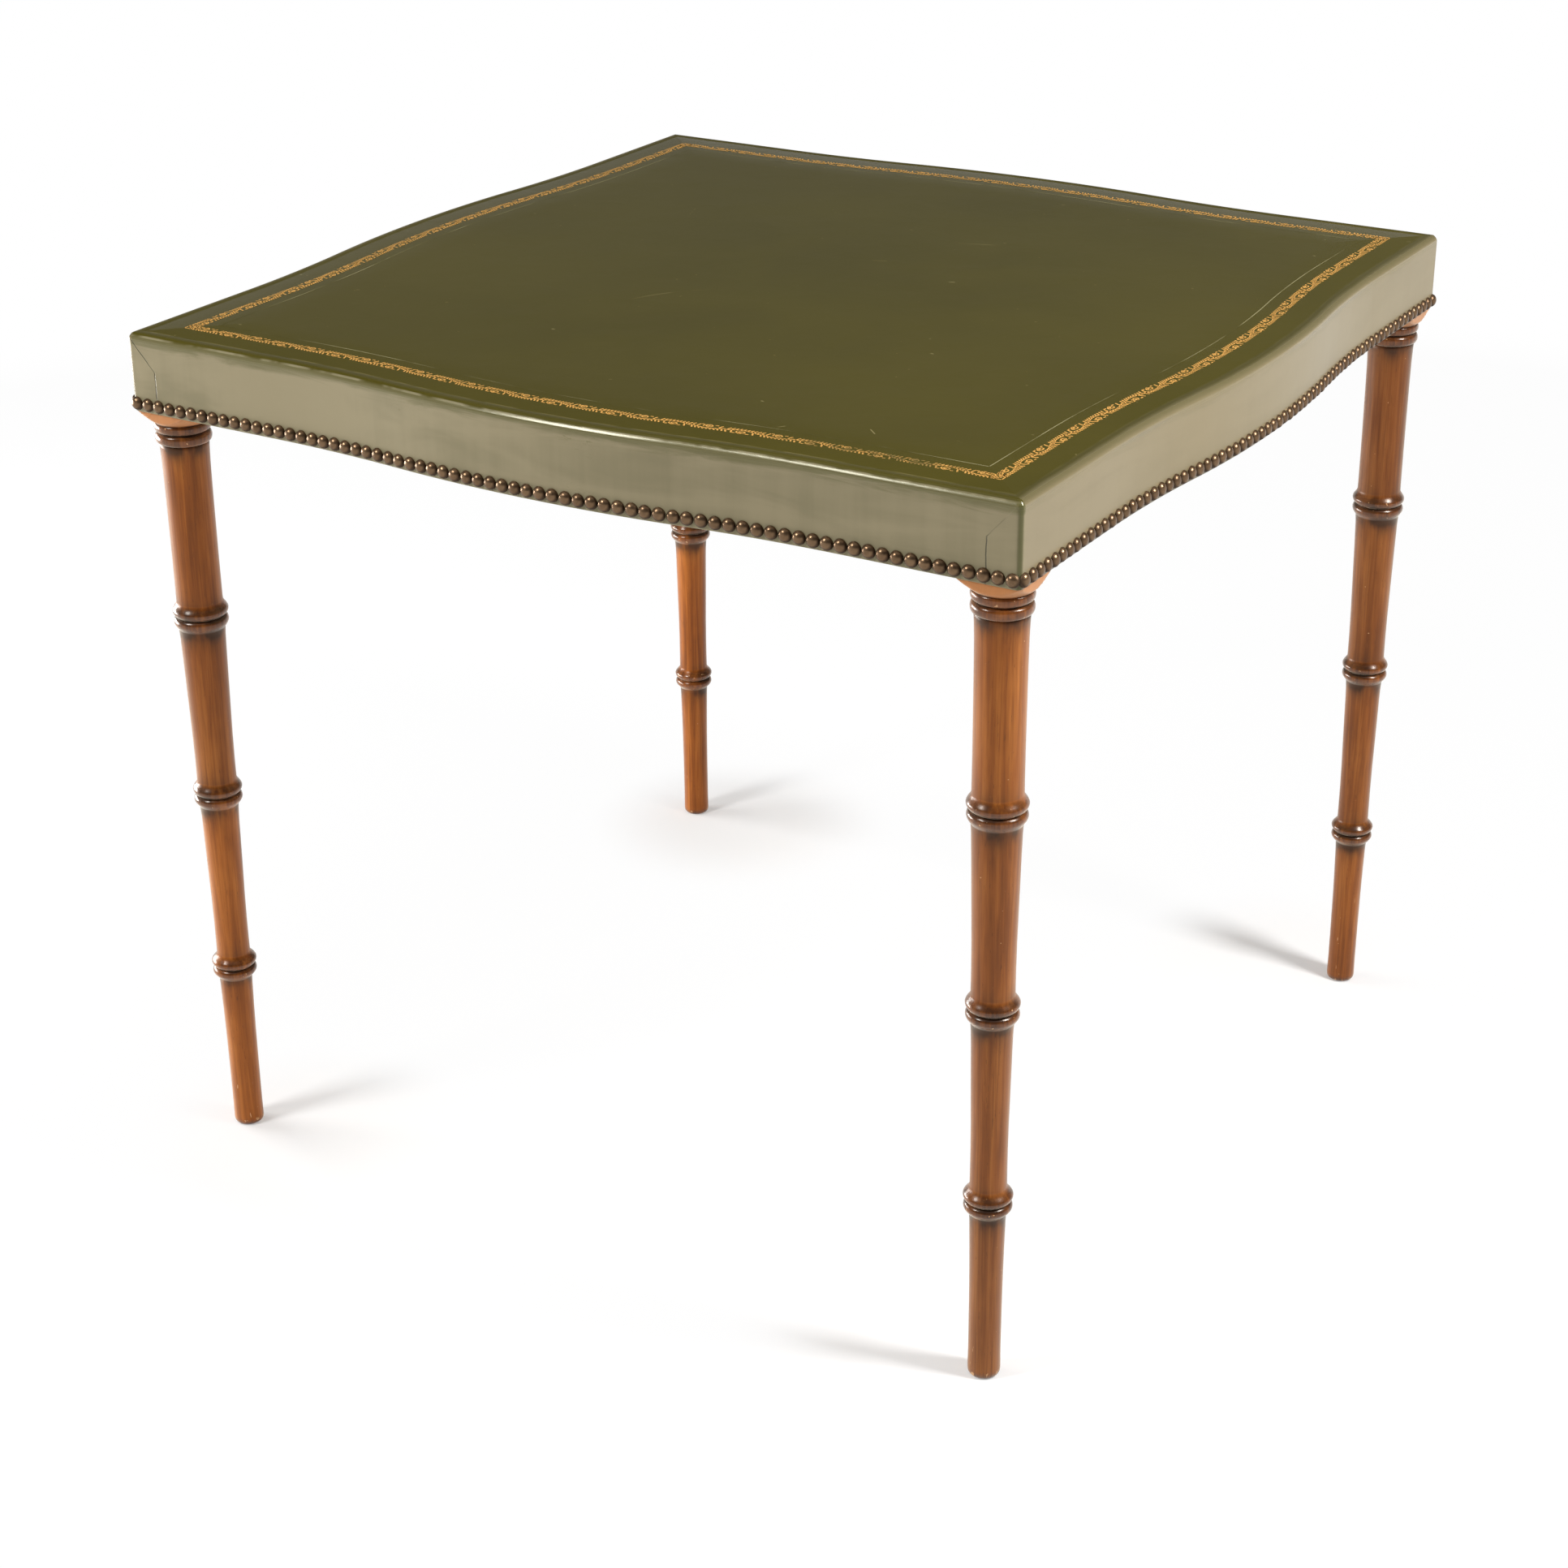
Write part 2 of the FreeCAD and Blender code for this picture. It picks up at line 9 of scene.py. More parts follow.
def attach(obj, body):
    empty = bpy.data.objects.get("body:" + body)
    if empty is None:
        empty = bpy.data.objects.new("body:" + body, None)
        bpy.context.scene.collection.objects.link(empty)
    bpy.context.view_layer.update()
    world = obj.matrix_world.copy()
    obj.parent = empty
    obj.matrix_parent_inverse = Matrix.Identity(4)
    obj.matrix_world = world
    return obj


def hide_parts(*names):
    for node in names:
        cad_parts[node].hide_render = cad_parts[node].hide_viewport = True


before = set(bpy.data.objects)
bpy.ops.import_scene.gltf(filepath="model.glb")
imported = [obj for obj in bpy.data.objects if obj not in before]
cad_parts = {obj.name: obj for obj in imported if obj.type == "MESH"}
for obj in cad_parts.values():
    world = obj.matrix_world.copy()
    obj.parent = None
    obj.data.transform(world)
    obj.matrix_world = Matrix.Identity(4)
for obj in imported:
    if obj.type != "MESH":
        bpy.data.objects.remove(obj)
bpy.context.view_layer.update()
print("frame loaded:", len(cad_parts), "nodes")

# plan of the top, shared by the leather, the border and the nails (metres)
planShape = {
    "halfSide": 0.396,      # wooden outline, middle to straight side
    "bowDepth": 0.015,
    "bowHalf": 0.255,
    "leather": 0.0015,
    "topHeight": 0.730,
    "hemHeight": 0.6655,
}
bowRadius = (planShape["bowHalf"] ** 2 + planShape["bowDepth"] ** 2) / (4 * planShape["bowDepth"])
outerSide = planShape["halfSide"] + planShape["leather"]
sideTurns = {"Front": 0, "Right": 1, "Back": 2, "Left": 3}


def sidePoint(x, inset):
    # point and outward normal of the bowed side at x, set in from the leather's face
    straight, half = planShape["halfSide"], planShape["bowHalf"]
    if abs(x) <= half / 2:
        lean = math.asin(x / bowRadius)
        out = straight + planShape["bowDepth"] - bowRadius * (1 - math.cos(lean))
        normal = (math.sin(lean), math.cos(lean))
    elif abs(x) < half:
        lean = math.asin((half - abs(x)) / bowRadius)
        out = straight + bowRadius * (1 - math.cos(lean))
        normal = (math.copysign(math.sin(lean), x), math.cos(lean))
    else:
        out = straight
        normal = (0.0, 1.0)
    grow = planShape["leather"] - inset
    return x + normal[0] * grow, out + normal[1] * grow, normal


def quarterTurned(side, x, y):
    for _ in range(sideTurns[side]):
        x, y = -y, x
    return x, y


def onSide(side, x, out, z):
    return Vector((*quarterTurned(side, x, -out), z))


def turnedNormal(side, normal):
    return Vector((*quarterTurned(side, normal[0], -normal[1]), 0))


def softStep(value, low, high):
    share = min(1.0, max(0.0, (value - low) / (high - low)))
    return share * share * (3 - 2 * share)


def skinRows(bm, rows):
    # faces between closed rows of points, where the first or last row may be one point
    for lower, upper in zip(rows, rows[1:]):
        count = max(len(lower), len(upper))
        for step in range(count):
            ahead = (step + 1) % count
            if len(lower) == 1:
                corners = [lower[0], upper[ahead], upper[step]]
            elif len(upper) == 1:
                corners = [lower[step], lower[ahead], upper[0]]
            else:
                corners = [lower[step], lower[ahead], upper[ahead], upper[step]]
            bm.faces.new(corners)


def newObject(name, bm):
    mesh = bpy.data.meshes.new(name)
    bm.to_mesh(mesh)
    bm.free()
    item = bpy.data.objects.new(name, mesh)
    bpy.context.scene.collection.objects.link(item)
    return item


def meshPiece(name, bm, sharpAngle=None):
    piece = newObject(name, bm)
    for poly in piece.data.polygons:
        poly.use_smooth = True
    if sharpAngle:
        piece.data.set_sharp_from_angle(angle=math.radians(sharpAngle))
    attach(piece, "root")
    return piece


# short ways to lay out material nodes, each in the tree that its sockets are in
def newFinish(name):
    mat = bpy.data.materials.new(name)
    mat.use_nodes = True
    tree = mat.node_tree
    return mat, tree, tree.nodes["Principled BSDF"]


def feed(node, values):
    # links what comes from another node, and sets the rest on the socket
    for place, value in values.items():
        if isinstance(value, bpy.types.NodeSocket):
            node.id_data.links.new(value, node.inputs[place])
        elif value is not None:
            node.inputs[place].default_value = value


def maths(operation, first, second=None):
    linked = first if isinstance(first, bpy.types.NodeSocket) else second
    node = linked.id_data.nodes.new("ShaderNodeMath")
    node.operation = operation
    feed(node, {0: first, 1: second})
    return node.outputs[0]


def times(first, second):
    return maths("MULTIPLY", first, second)


def plus(first, second):
    return maths("ADD", first, second)


def minus(first, second):
    return maths("SUBTRACT", first, second)


def larger(first, second):
    return maths("MAXIMUM", first, second)


def positive(value):
    return maths("ABSOLUTE", value)


def hypot(x, y):
    return maths("SQRT", plus(times(x, x), times(y, y)))


def howFar(operation, coords, place=None):
    node = coords.id_data.nodes.new("ShaderNodeVectorMath")
    node.operation = operation
    feed(node, {0: coords, 1: place})
    return node.outputs["Value"]


def between(value, low, high):
    # 0 at low, 1 at high, soft in between
    node = value.id_data.nodes.new("ShaderNodeMapRange")
    node.interpolation_type = "SMOOTHSTEP"
    feed(node, {"Value": value, "From Min": low, "From Max": high})
    return node.outputs["Result"]


def blendColour(share, first, second, kind="MIX"):
    node = share.id_data.nodes.new("ShaderNodeMix")
    node.data_type = "RGBA"
    node.blend_type = kind
    feed(node, {0: share, 6: first, 7: second})
    return node.outputs[2]


def wash(tone, colour, share, amount):
    # lays a colour over the tone by a share, and at most by an amount
    return blendColour(times(share, amount), tone, colour)


def speckle(coords, scale, detail=4.0, rough=0.55, warp=0.0):
    node = coords.id_data.nodes.new("ShaderNodeTexNoise")
    feed(node, {"Vector": coords, "Scale": scale, "Detail": detail, "Roughness": rough, "Distortion": warp})
    return node.outputs["Fac"]


def stretched(coords, scale, turn=(0, 0, 0)):
    node = coords.id_data.nodes.new("ShaderNodeMapping")
    feed(node, {"Vector": coords, "Scale": scale, "Rotation": turn})
    return node.outputs["Vector"]


def drawnOut(coords, scale, detail, rough=0.55, warp=0.0, turn=(0, 0, 0)):
    # specks pulled into streaks, finer where the scale is larger
    return speckle(stretched(coords, scale, turn), 1.0, detail, rough, warp)


def ramp(share, stops):
    node = share.id_data.nodes.new("ShaderNodeValToRGB")
    feed(node, {"Fac": share})
    marks = node.color_ramp.elements
    while len(marks) < len(stops):
        marks.new(0.5)
    for mark, (place, colour) in zip(marks, stops):
        mark.position = place
        mark.color = colour
    return node.outputs["Color"]


def bumped(shader, height, strength, distance):
    node = height.id_data.nodes.new("ShaderNodeBump")
    feed(node, {"Strength": strength, "Distance": distance, "Height": height})
    feed(shader, {"Normal": node.outputs["Normal"]})


def splitXYZ(vector):
    node = vector.id_data.nodes.new("ShaderNodeSeparateXYZ")
    feed(node, {0: vector})
    return list(node.outputs)


def objectCoords(tree):
    return tree.nodes.new("ShaderNodeTexCoord").outputs["Object"]


def attribute(tree, name):
    node = tree.nodes.new("ShaderNodeAttribute")
    node.attribute_name = name
    return node.outputs["Fac"]


# leather cover
leatherLook = {
    "edgeRadius": 0.0048,
    "shoulder": (53, 7, 3.2),   # lean and spread of the flat part of the edge in degrees, how flat
    "innerFlat": 0.0018,        # flat strip inside the round
    "margin": 0.075,            # the top is modelled this far in from the edge, then filled
    "lippingLine": 0.011,       # faint line where the lipping ends under the hide
    "lineHalf": 0.0016,
    "lineDepth": 0.00022,
    "fold": 0.0012,             # round of the lower edge, where it starts, and the cut edge under it
    "foldStart": 0.00035,
    "cutEdge": 0.0013,
    "hemDepth": 0.0155,
    "postEdge": 0.346,          # the hem stops at the leg posts
    "postHem": 0.0018,
    "waveHeight": 0.00035,
    "waves": [(9, 26, 0, 0.8), (60, 18, 7, 0.2)],   # how close along and down, start, share
    "waveCalm": (0.004, 0.05),  # the waves grow between these distances from a corner
    "sharpAngle": 50,
    "flapStart": 10.0,          # the side flaps are mapped this far from the front and back
    "topColour": (0.070, 0.0575, 0.0060, 1),
    "topDark": (0.062, 0.0512, 0.0055, 1),
    "topPale": (0.077, 0.0630, 0.0077, 1),
    "apronColour": (0.280, 0.234, 0.138, 1),
    "apronDark": (0.216, 0.183, 0.103, 1),
    "apronSide": (0.236, 0.184, 0.101, 1),
    "apronEdge": (0.125, 0.113, 0.043, 1),
    "arrisColour": (0.072, 0.069, 0.020, 1),
    "shoulderHighlight": (0.370, 0.325, 0.200, 1),
    "seamColour": (0.022, 0.020, 0.010, 1),
    "seam": [(0.392, -0.006), (0.371, -0.029)],     # slanted part: place along the side, drop
    "roughness": 0.24,
    "roughDrift": 0.12,
    "edgePolish": 0.12,
    "ior": 1.45,
    "shineTint": (0.97, 0.94, 0.76, 1),
    "scratchColour": (0.27, 0.225, 0.095, 1),
    # middle, radius, from x, to x, width
    "longScratch": ((0.0166, -0.1639), 0.1261, -0.1070, -0.0560, 0.0006),
    # middle, turn, length, width
    "ticks": [
        ((0.2377, -0.3188), -0.77, 0.0134, 0.0007),
        ((0.3020, -0.3077), -0.46, 0.0080, 0.0007),
        ((0.1756, -0.3413), 0.87, 0.0070, 0.0009),
        ((0.0590, 0.1690), 0.31, 0.0560, 0.0006),
        ((0.0166, 0.0822), 0.29, 0.0150, 0.0006),
        ((0.1015, 0.0532), 0.40, 0.0060, 0.0016),
        ((-0.2130, 0.1450), 1.90, 0.0240, 0.0006),
    ],
}


def leatherRows():
    # rows of the section: set-in from the face, height, and share of the hem turned under
    radius, fold = leatherLook["edgeRadius"], leatherLook["fold"]
    top, hem = planShape["topHeight"], planShape["hemHeight"]
    line, lineHalf = leatherLook["lippingLine"], leatherLook["lineHalf"]
    rows = [(leatherLook["margin"], top, 0), (line + lineHalf, top, 0)]
    rows += [(line, top - leatherLook["lineDepth"], 0), (line - lineHalf, top, 0)]
    rows.append((radius + leatherLook["innerFlat"], top, 0))
    # the round is flatter at its shoulder, where the hide is pulled over
    flatLean, spread, flatness = leatherLook["shoulder"]
    across, down, turned = 0.0, 0.0, []
    roundSteps, apronSteps = 20, 14
    for step in range(roundSteps):
        lean = 90 / roundSteps * (step + 0.5)
        run = 1 + flatness * math.exp(-((lean - flatLean) / spread) ** 2)
        turned.append((across, down))
        across += run * math.cos(math.radians(lean))
        down += run * math.sin(math.radians(lean))
    fit = radius / across
    rows += [(radius - fit * a, top - fit * d, 0) for a, d in turned]
    low = top - fit * down
    rows += [(0.0, low + (hem + fold - low) * step / apronSteps, 0) for step in range(apronSteps + 1)]
    start = leatherLook["foldStart"]
    rows += [(start, hem + start, 0), (fold, hem, 0), (fold, hem, 0.5), (fold, hem, 1)]
    rows.append((fold, hem + leatherLook["cutEdge"], 1))
    return rows


def sideStations():
    # (end, value): on the bow the value is x, towards a corner it is the share of the way there
    half, endSteps, bowSteps = planShape["bowHalf"], 20, 84
    ends = [math.sin(math.radians(90) * step / endSteps) for step in range(1, endSteps + 1)]
    middle = [(0, -half + 2 * half * step / bowSteps) for step in range(bowSteps + 1)]
    return [(-1, share) for share in reversed(ends)] + middle + [(1, share) for share in ends]


def mappedFrom(side):
    return leatherLook["flapStart"] if side in ("Left", "Right") else 0.0


def leatherPoint(side, station, row):
    end, value = station
    inset, z, hemShare = row
    run = outerSide - max(inset, leatherLook["edgeRadius"])
    x = end * (planShape["bowHalf"] + value * (run - planShape["bowHalf"])) if end else value
    if hemShare:
        depth = leatherLook["hemDepth"] if abs(x) < leatherLook["postEdge"] else leatherLook["postHem"]
        inset = inset + (depth - inset) * hemShare
    px, out, normal = sidePoint(x, inset)
    spot = onSide(side, px, out, z)
    if inset == 0.0:
        # the hide is never quite flat on the apron
        calm = softStep(outerSide - abs(x), *leatherLook["waveCalm"])
        rise = 0.0
        for along, down, start, share in leatherLook["waves"]:
            rise += share * noise.noise(Vector((spot.x * along + start, spot.y * along, z * down)))
        spot += turnedNormal(side, normal) * (rise * leatherLook["waveHeight"] * calm)
    drop = inset if z >= planShape["topHeight"] - 0.0003 else z - planShape["topHeight"]
    return spot, (x + mappedFrom(side), drop)


def arrisColumns(bm, side, rows, arris):
    # rounded arris from this side to the next
    radius, top, steps = leatherLook["edgeRadius"], planShape["topHeight"], 8
    centre = outerSide - radius
    columns = []
    for step in range(steps + 1):
        lean = math.radians(90) * step / steps
        column = []
        for inset, z, hemShare in rows:
            reach = radius - inset - (leatherLook["postHem"] - inset) * hemShare
            spot = onSide(side, centre + reach * math.sin(lean), centre + reach * math.cos(lean), z)
            vert = bm.verts.new(spot)
            vert[arris] = math.sin(lean * 2)
            column.append((vert, (outerSide + mappedFrom(side), z - top)))
        columns.append(column)
    return columns


def skinColumns(bm, uv, columns):
    for left, right in zip(columns, columns[1:]):
        for i in range(len(left) - 1):
            corners = [left[i], left[i + 1], right[i + 1], right[i]]
            kept = [c for n, c in enumerate(corners) if (c[0].co - corners[n - 1][0].co).length > 1e-7]
            if len(kept) > 2:
                face = bm.faces.new([c[0] for c in kept])
                for loop, c in zip(face.loops, kept):
                    loop[uv].uv = c[1]


def buildLeather():
    bm = bmesh.new()
    uv = bm.loops.layers.uv.new("cover")
    arris = bm.verts.layers.float.new("arris")
    rows, stations = leatherRows(), sideStations()
    firstRound = next(i for i, row in enumerate(rows) if abs(row[0] - leatherLook["edgeRadius"]) < 1e-9)
    for side in sideTurns:
        columns = []
        for station in stations:
            points = [leatherPoint(side, station, row) for row in rows]
            columns.append([(bm.verts.new(spot), mapped) for spot, mapped in points])
        skinColumns(bm, uv, columns)
        skinColumns(bm, uv, arrisColumns(bm, side, rows[firstRound:], arris))
    bmesh.ops.remove_doubles(bm, verts=bm.verts[:], dist=2e-6)
    flat = planShape["topHeight"] - 1e-5
    rim = [e for e in bm.edges if e.is_boundary and min(v.co.z for v in e.verts) > flat]
    for face in bmesh.ops.edgeloop_fill(bm, edges=rim)["faces"]:
        for loop in face.loops:
            loop[uv].uv = (0.0, leatherLook["margin"])
    bmesh.ops.recalc_face_normals(bm, faces=bm.faces[:])
    cover = meshPiece("leatherCover", bm, leatherLook["sharpAngle"])
    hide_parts("leather_cover")
    return cover


def tickMark(coords, place, turn, length, width):
    # a straight worn line with its middle at place
    node = coords.id_data.nodes.new("ShaderNodeMapping")
    node.vector_type = "TEXTURE"
    feed(node, {"Vector": coords, "Location": (*place, 0), "Rotation": (0, 0, turn)})
    x, y, _ = splitXYZ(node.outputs[0])
    along = between(positive(x), length / 2, length / 3)
    across = between(positive(y), width, width * 0.4)
    return times(along, across)


def arcMark(coords, centre, radius, low, high, width):
    # a thin arc between two places of x
    x, y, _ = splitXYZ(coords)
    away = hypot(minus(x, centre[0]), minus(y, centre[1]))
    ring = between(positive(minus(away, radius)), width, width * 0.4)
    inside = times(between(x, low, low + 0.01), between(x, high, high - 0.02))
    behind = maths("GREATER_THAN", y, centre[1])
    return times(times(ring, inside), behind)


def topHide(coords, drop, besides, faint, cloud):
    mottle = speckle(coords, 7.0, 5.0, 0.6, 0.4)
    mottled = between(mottle, 0.3, 0.72)
    tone = blendColour(mottled, leatherLook["topDark"], leatherLook["topColour"])
    tone = blendColour(between(cloud, 0.35, 0.75), tone, leatherLook["topPale"])
    # one long curved scratch, a few ticks and specks from years of use
    scratch = leatherLook["scratchColour"]
    worn = arcMark(coords, *leatherLook["longScratch"])
    for place, turn, length, width in leatherLook["ticks"]:
        worn = larger(worn, tickMark(coords, place, turn, length, width))
    specks = between(speckle(coords, 150.0, 1.0), 0.80, 0.82)
    tone = wash(tone, scratch, times(worn, faint), 0.75)
    tone = wash(tone, scratch, specks, 0.55)
    # painted highlight: a pale line where the lipping ends; painted reflection: a greyed margin along the
    # two sides
    line = between(positive(minus(drop, leatherLook["lippingLine"])), 0.0011, 0.0004)
    line = times(line, minus(0.34, times(besides, 0.26)))
    tone = wash(tone, scratch, line, faint)
    ragged = plus(drop, times(minus(mottle, 0.5), 0.006))
    margin = times(between(ragged, 0.0085, 0.0025), besides)
    return wash(tone, leatherLook["apronDark"], margin, 0.55)


def apronHide(coords, drop, besides):
    # the apron is paler and greyer than the top, partly faded hide and partly painted reflection of the
    # pale floor; its tone drifts in soft patches and faint upright streaks
    streak = drawnOut(coords, (60.0, 60.0, 5.0), 3.0, 0.6)
    patch = drawnOut(coords, (6.0, 6.0, 30.0), 3.0, 0.55, 0.8)
    drift = between(plus(times(streak, 0.25), times(patch, 0.75)), 0.34, 0.60)
    tone = blendColour(drift, leatherLook["apronDark"], leatherLook["apronColour"])
    # painted shade: the left and right flaps get a darker, warmer copy of the apron colour
    tone = wash(tone, leatherLook["apronSide"], besides, 0.7)
    # painted reflection: a darker smudged band below the edge; painted shade: a darker band beside the
    # nails; and real scuffs in the same dark colour
    dark = leatherLook["apronEdge"]
    bandWobble = drawnOut(coords, (11.0, 11.0, 110.0), 4.0, 0.6, 0.9)
    lower = plus(drop, times(minus(bandWobble, 0.5), 0.022))
    underEdge = between(lower, -0.0125, -0.0055)
    tone = wash(tone, dark, underEdge, minus(0.78, times(besides, 0.60)))
    # painted shade beside the nails
    tone = wash(tone, dark, between(drop, -0.049, -0.0585), 0.3)
    scuffLine = drawnOut(coords, (70.0, 70.0, 260.0), 2.0, 0.5, 0.5, (0.35, 0.35, 0.2))
    scuffs = maths("LESS_THAN", positive(minus(scuffLine, 0.5)), 0.008)
    scuffs = times(scuffs, between(speckle(coords, 13.0, 2.0), 0.60, 0.70))
    return wash(tone, dark, scuffs, minus(0.4, times(besides, 0.36)))


def seamLine(coords, along, drop):
    # the line where the side flaps are lapped on to the front and back, and the hide past it
    (highX, highDrop), (lowX, lowDrop) = leatherLook["seam"]
    slope = (highX - lowX) / (highDrop - lowDrop)
    path = larger(plus(times(minus(drop, lowDrop), slope), lowX), lowX)
    wander = times(minus(speckle(coords, 90.0, 2.0), 0.5), 0.0016)
    gap = plus(minus(positive(along), path), wander)
    line = minus(1.0, between(positive(gap), 0.00025, 0.00065))
    line = times(line, between(drop, -0.003, -0.006))
    upright = between(drop, lowDrop + 0.004, lowDrop - 0.004)
    crisp = larger(upright, between(along, 0.05, -0.05))
    line = times(line, plus(times(crisp, 0.7), 0.3))
    line = times(line, between(speckle(coords, 60.0, 2.0), 0.28, 0.50))
    return line, between(gap, -0.0004, 0.0004)


def leatherFinish():
    mat, tree, shader = newFinish("greenHide")
    coords = objectCoords(tree)
    mapNode = tree.nodes.new("ShaderNodeUVMap")
    mapNode.uv_map = "cover"
    along, drop, _ = splitXYZ(mapNode.outputs["UV"])
    besides = between(along, 0.4 * leatherLook["flapStart"], 0.6 * leatherLook["flapStart"])
    faint = between(speckle(coords, 45.0, 2.0), 0.36, 0.62)
    cloud = speckle(coords, 2.2, 2.0, 0.5)

    onApron = between(drop, -0.0008, -0.0042)
    tone = topHide(coords, drop, besides, faint, cloud)
    tone = blendColour(onApron, tone, apronHide(coords, drop, besides))
    # painted highlight: a thin pale line along the shoulder of the edge
    shoulder = times(between(drop, -0.0009, -0.0015), between(drop, -0.0029, -0.0022))
    shoulder = times(shoulder, minus(0.55, times(besides, 0.55)))
    tone = wash(tone, leatherLook["shoulderHighlight"], shoulder, faint)
    # painted reflection: a dark line down the arris of each corner
    goldRubAndArrisReflection = times(between(attribute(tree, "arris"), 0.35, 0.97), onApron)
    tone = wash(tone, leatherLook["arrisColour"], goldRubAndArrisReflection, 0.85)
    seam, lap = seamLine(coords, along, drop)
    tone = wash(tone, leatherLook["seamColour"], seam, 0.85)

    pores = speckle(coords, 380.0, 2.0)
    dents = speckle(coords, 24.0, 3.0, 0.5, 0.3)
    height = plus(times(pores, 0.012), times(dents, 0.42))
    height = plus(height, times(times(lap, onApron), 0.5))
    bumped(shader, minus(height, times(seam, 0.6)), 0.35, 0.0012)

    # hands have polished the edge
    edge = times(between(drop, 0.004, 0.0), between(drop, -0.007, -0.0035))
    gloss = times(cloud, leatherLook["roughDrift"])
    gloss = minus(gloss, times(edge, leatherLook["edgePolish"]))
    gloss = plus(gloss, leatherLook["roughness"])
    shine = {"IOR": leatherLook["ior"], "Specular Tint": leatherLook["shineTint"]}
    feed(shader, {"Base Color": tone, "Roughness": gloss, **shine})
    return mat


cover = buildLeather()
cover.data.materials.append(leatherFinish())
print("leather cover:", len(cover.data.polygons), "faces")

# gold-tooled border and the blind line inside it
borderLook = {
    "bandMiddle": 0.0365,       # from the edge of the top
    "bandWidth": 0.0108,
    "motifLength": 0.027,
    "motifReach": 0.92,
    "barLength": 0.008,         # short bars that close the band at the mitres
    "barWidth": 0.0011,
    "barPlaces": (-0.36, -0.12, 0.12, 0.36),
    "mitreGap": 0.0006,
    "lineInset": 0.0525,
    "lineWidth": 0.0009,
    "lift": 0.00009,
    "goldColour": (0.86, 0.445, 0.105, 1),
    "goldWorn": (0.46, 0.245, 0.055, 1),
    "rubbedPlace": (0.263, -0.369),     # most of the gold is gone here
    "rubbedSize": (0.030, 0.095),
    "rubbedColour": (0.150, 0.125, 0.036, 1),
    "lineColour": (0.275, 0.245, 0.120, 1),
    "roughness": 0.36,
    "metallic": 0.15,
}


def stemRise(along):
    return 0.34 * math.sin(math.pi * along) - 0.10


def leafStroke(along, slant, tip):
    crown = stemRise(along)
    return [(along + slant * t / 5, crown + (tip - crown) * math.sin(1.45 * t / 5)) for t in range(6)], 0.12


def motifStrokes():
    # one repeat of a plain leaf scroll: polylines in (along, across) shares with a width
    strokes = [([(t / 20, stemRise(t / 20)) for t in range(21)], 0.13)]
    # curled end in the hollow of the stem
    curl = []
    for t in range(25):
        turn = t / 24
        reach = 0.26 * (1 - 0.70 * turn)
        lean = math.radians(150 + 520 * turn)
        curl.append((0.50 + 0.58 * reach * math.cos(lean), -0.20 + reach * math.sin(lean)))
    strokes.append((curl, 0.105))
    # slanted leaves along both sides of the stem, none where the curl is
    strokes += [leafStroke(0.04 + number / 9.2, 0.075, 0.46) for number in range(9)]
    strokes += [leafStroke(0.02 + number / 6.4, 0.08, -0.47) for number in (0, 1, 5)]
    # dashes under the curl
    for along, across in ((0.30, -0.42), (0.50, -0.45), (0.70, -0.42)):
        dash = [(along - 0.05 + 0.1 * t / 5, across - 0.04 * math.sin(math.pi * t / 5)) for t in range(6)]
        strokes.append((dash, 0.10))
    return strokes


def layRibbon(bm, side, line, width):
    # line holds (along, inset) pairs; trimmed at the mitre of the corner
    pairs = []
    for i, (x, inset) in enumerate(line):
        ahead, behind = line[min(i + 1, len(line) - 1)], line[max(i - 1, 0)]
        run = Vector((ahead[0] - behind[0], ahead[1] - behind[1]))
        if run.length < 1e-9:
            return
        across = Vector((-run.y, run.x)).normalized() * width / 2
        made = []
        for way in (1, -1):
            xx, ii = x + across.x * way, inset + across.y * way
            if abs(xx) > outerSide - ii:
                made = []
                break
            made.append(onSide(side, *sidePoint(xx, ii)[:2], planShape["topHeight"] + borderLook["lift"]))
        pairs.append(made)
    for first, second in zip(pairs, pairs[1:]):
        if first and second:
            corners = (first[0], second[0], second[1], first[1])
            bm.faces.new([bm.verts.new(corner) for corner in corners])


def tooledPiece(name, bm):
    # laid on the hide, facing up
    for face in bm.faces:
        face.normal_update()
        if face.normal.z < 0:
            face.normal_flip()
    piece = meshPiece(name, bm)
    return piece


def buildBorder():
    bm = bmesh.new()
    middle, width = borderLook["bandMiddle"], borderLook["bandWidth"]
    strokes = motifStrokes()
    reach = outerSide - middle
    repeats = round(2 * reach / borderLook["motifLength"])
    length = 2 * reach / repeats
    for side in sideTurns:
        for number in range(repeats):
            start = -reach + number * length
            flip = 1 if number % 2 else -1
            for stroke, thick in strokes:
                reachIn = flip * width * borderLook["motifReach"]
                line = [(start + a * length, middle + b * reachIn) for a, b in stroke]
                layRibbon(bm, side, line, thick * width)
        for end in (-1, 1):
            for share in borderLook["barPlaces"]:
                inset = middle + share * width
                foot = outerSide - inset - borderLook["mitreGap"] - borderLook["barLength"]
                bar = [(end * (foot + borderLook["barLength"] * k / 4), inset) for k in range(5)]
                layRibbon(bm, side, bar, borderLook["barWidth"])
    return tooledPiece("goldBorder", bm)


def buildBlindLine():
    bm = bmesh.new()
    inset, steps = borderLook["lineInset"], 120
    reach = outerSide - inset
    line = [(-reach + 2 * reach * step / steps, inset) for step in range(steps + 1)]
    line[0] = (-reach + borderLook["mitreGap"], inset)
    line[-1] = (reach - borderLook["mitreGap"], inset)
    for side in sideTurns:
        layRibbon(bm, side, line, borderLook["lineWidth"])
    return tooledPiece("blindLine", bm)


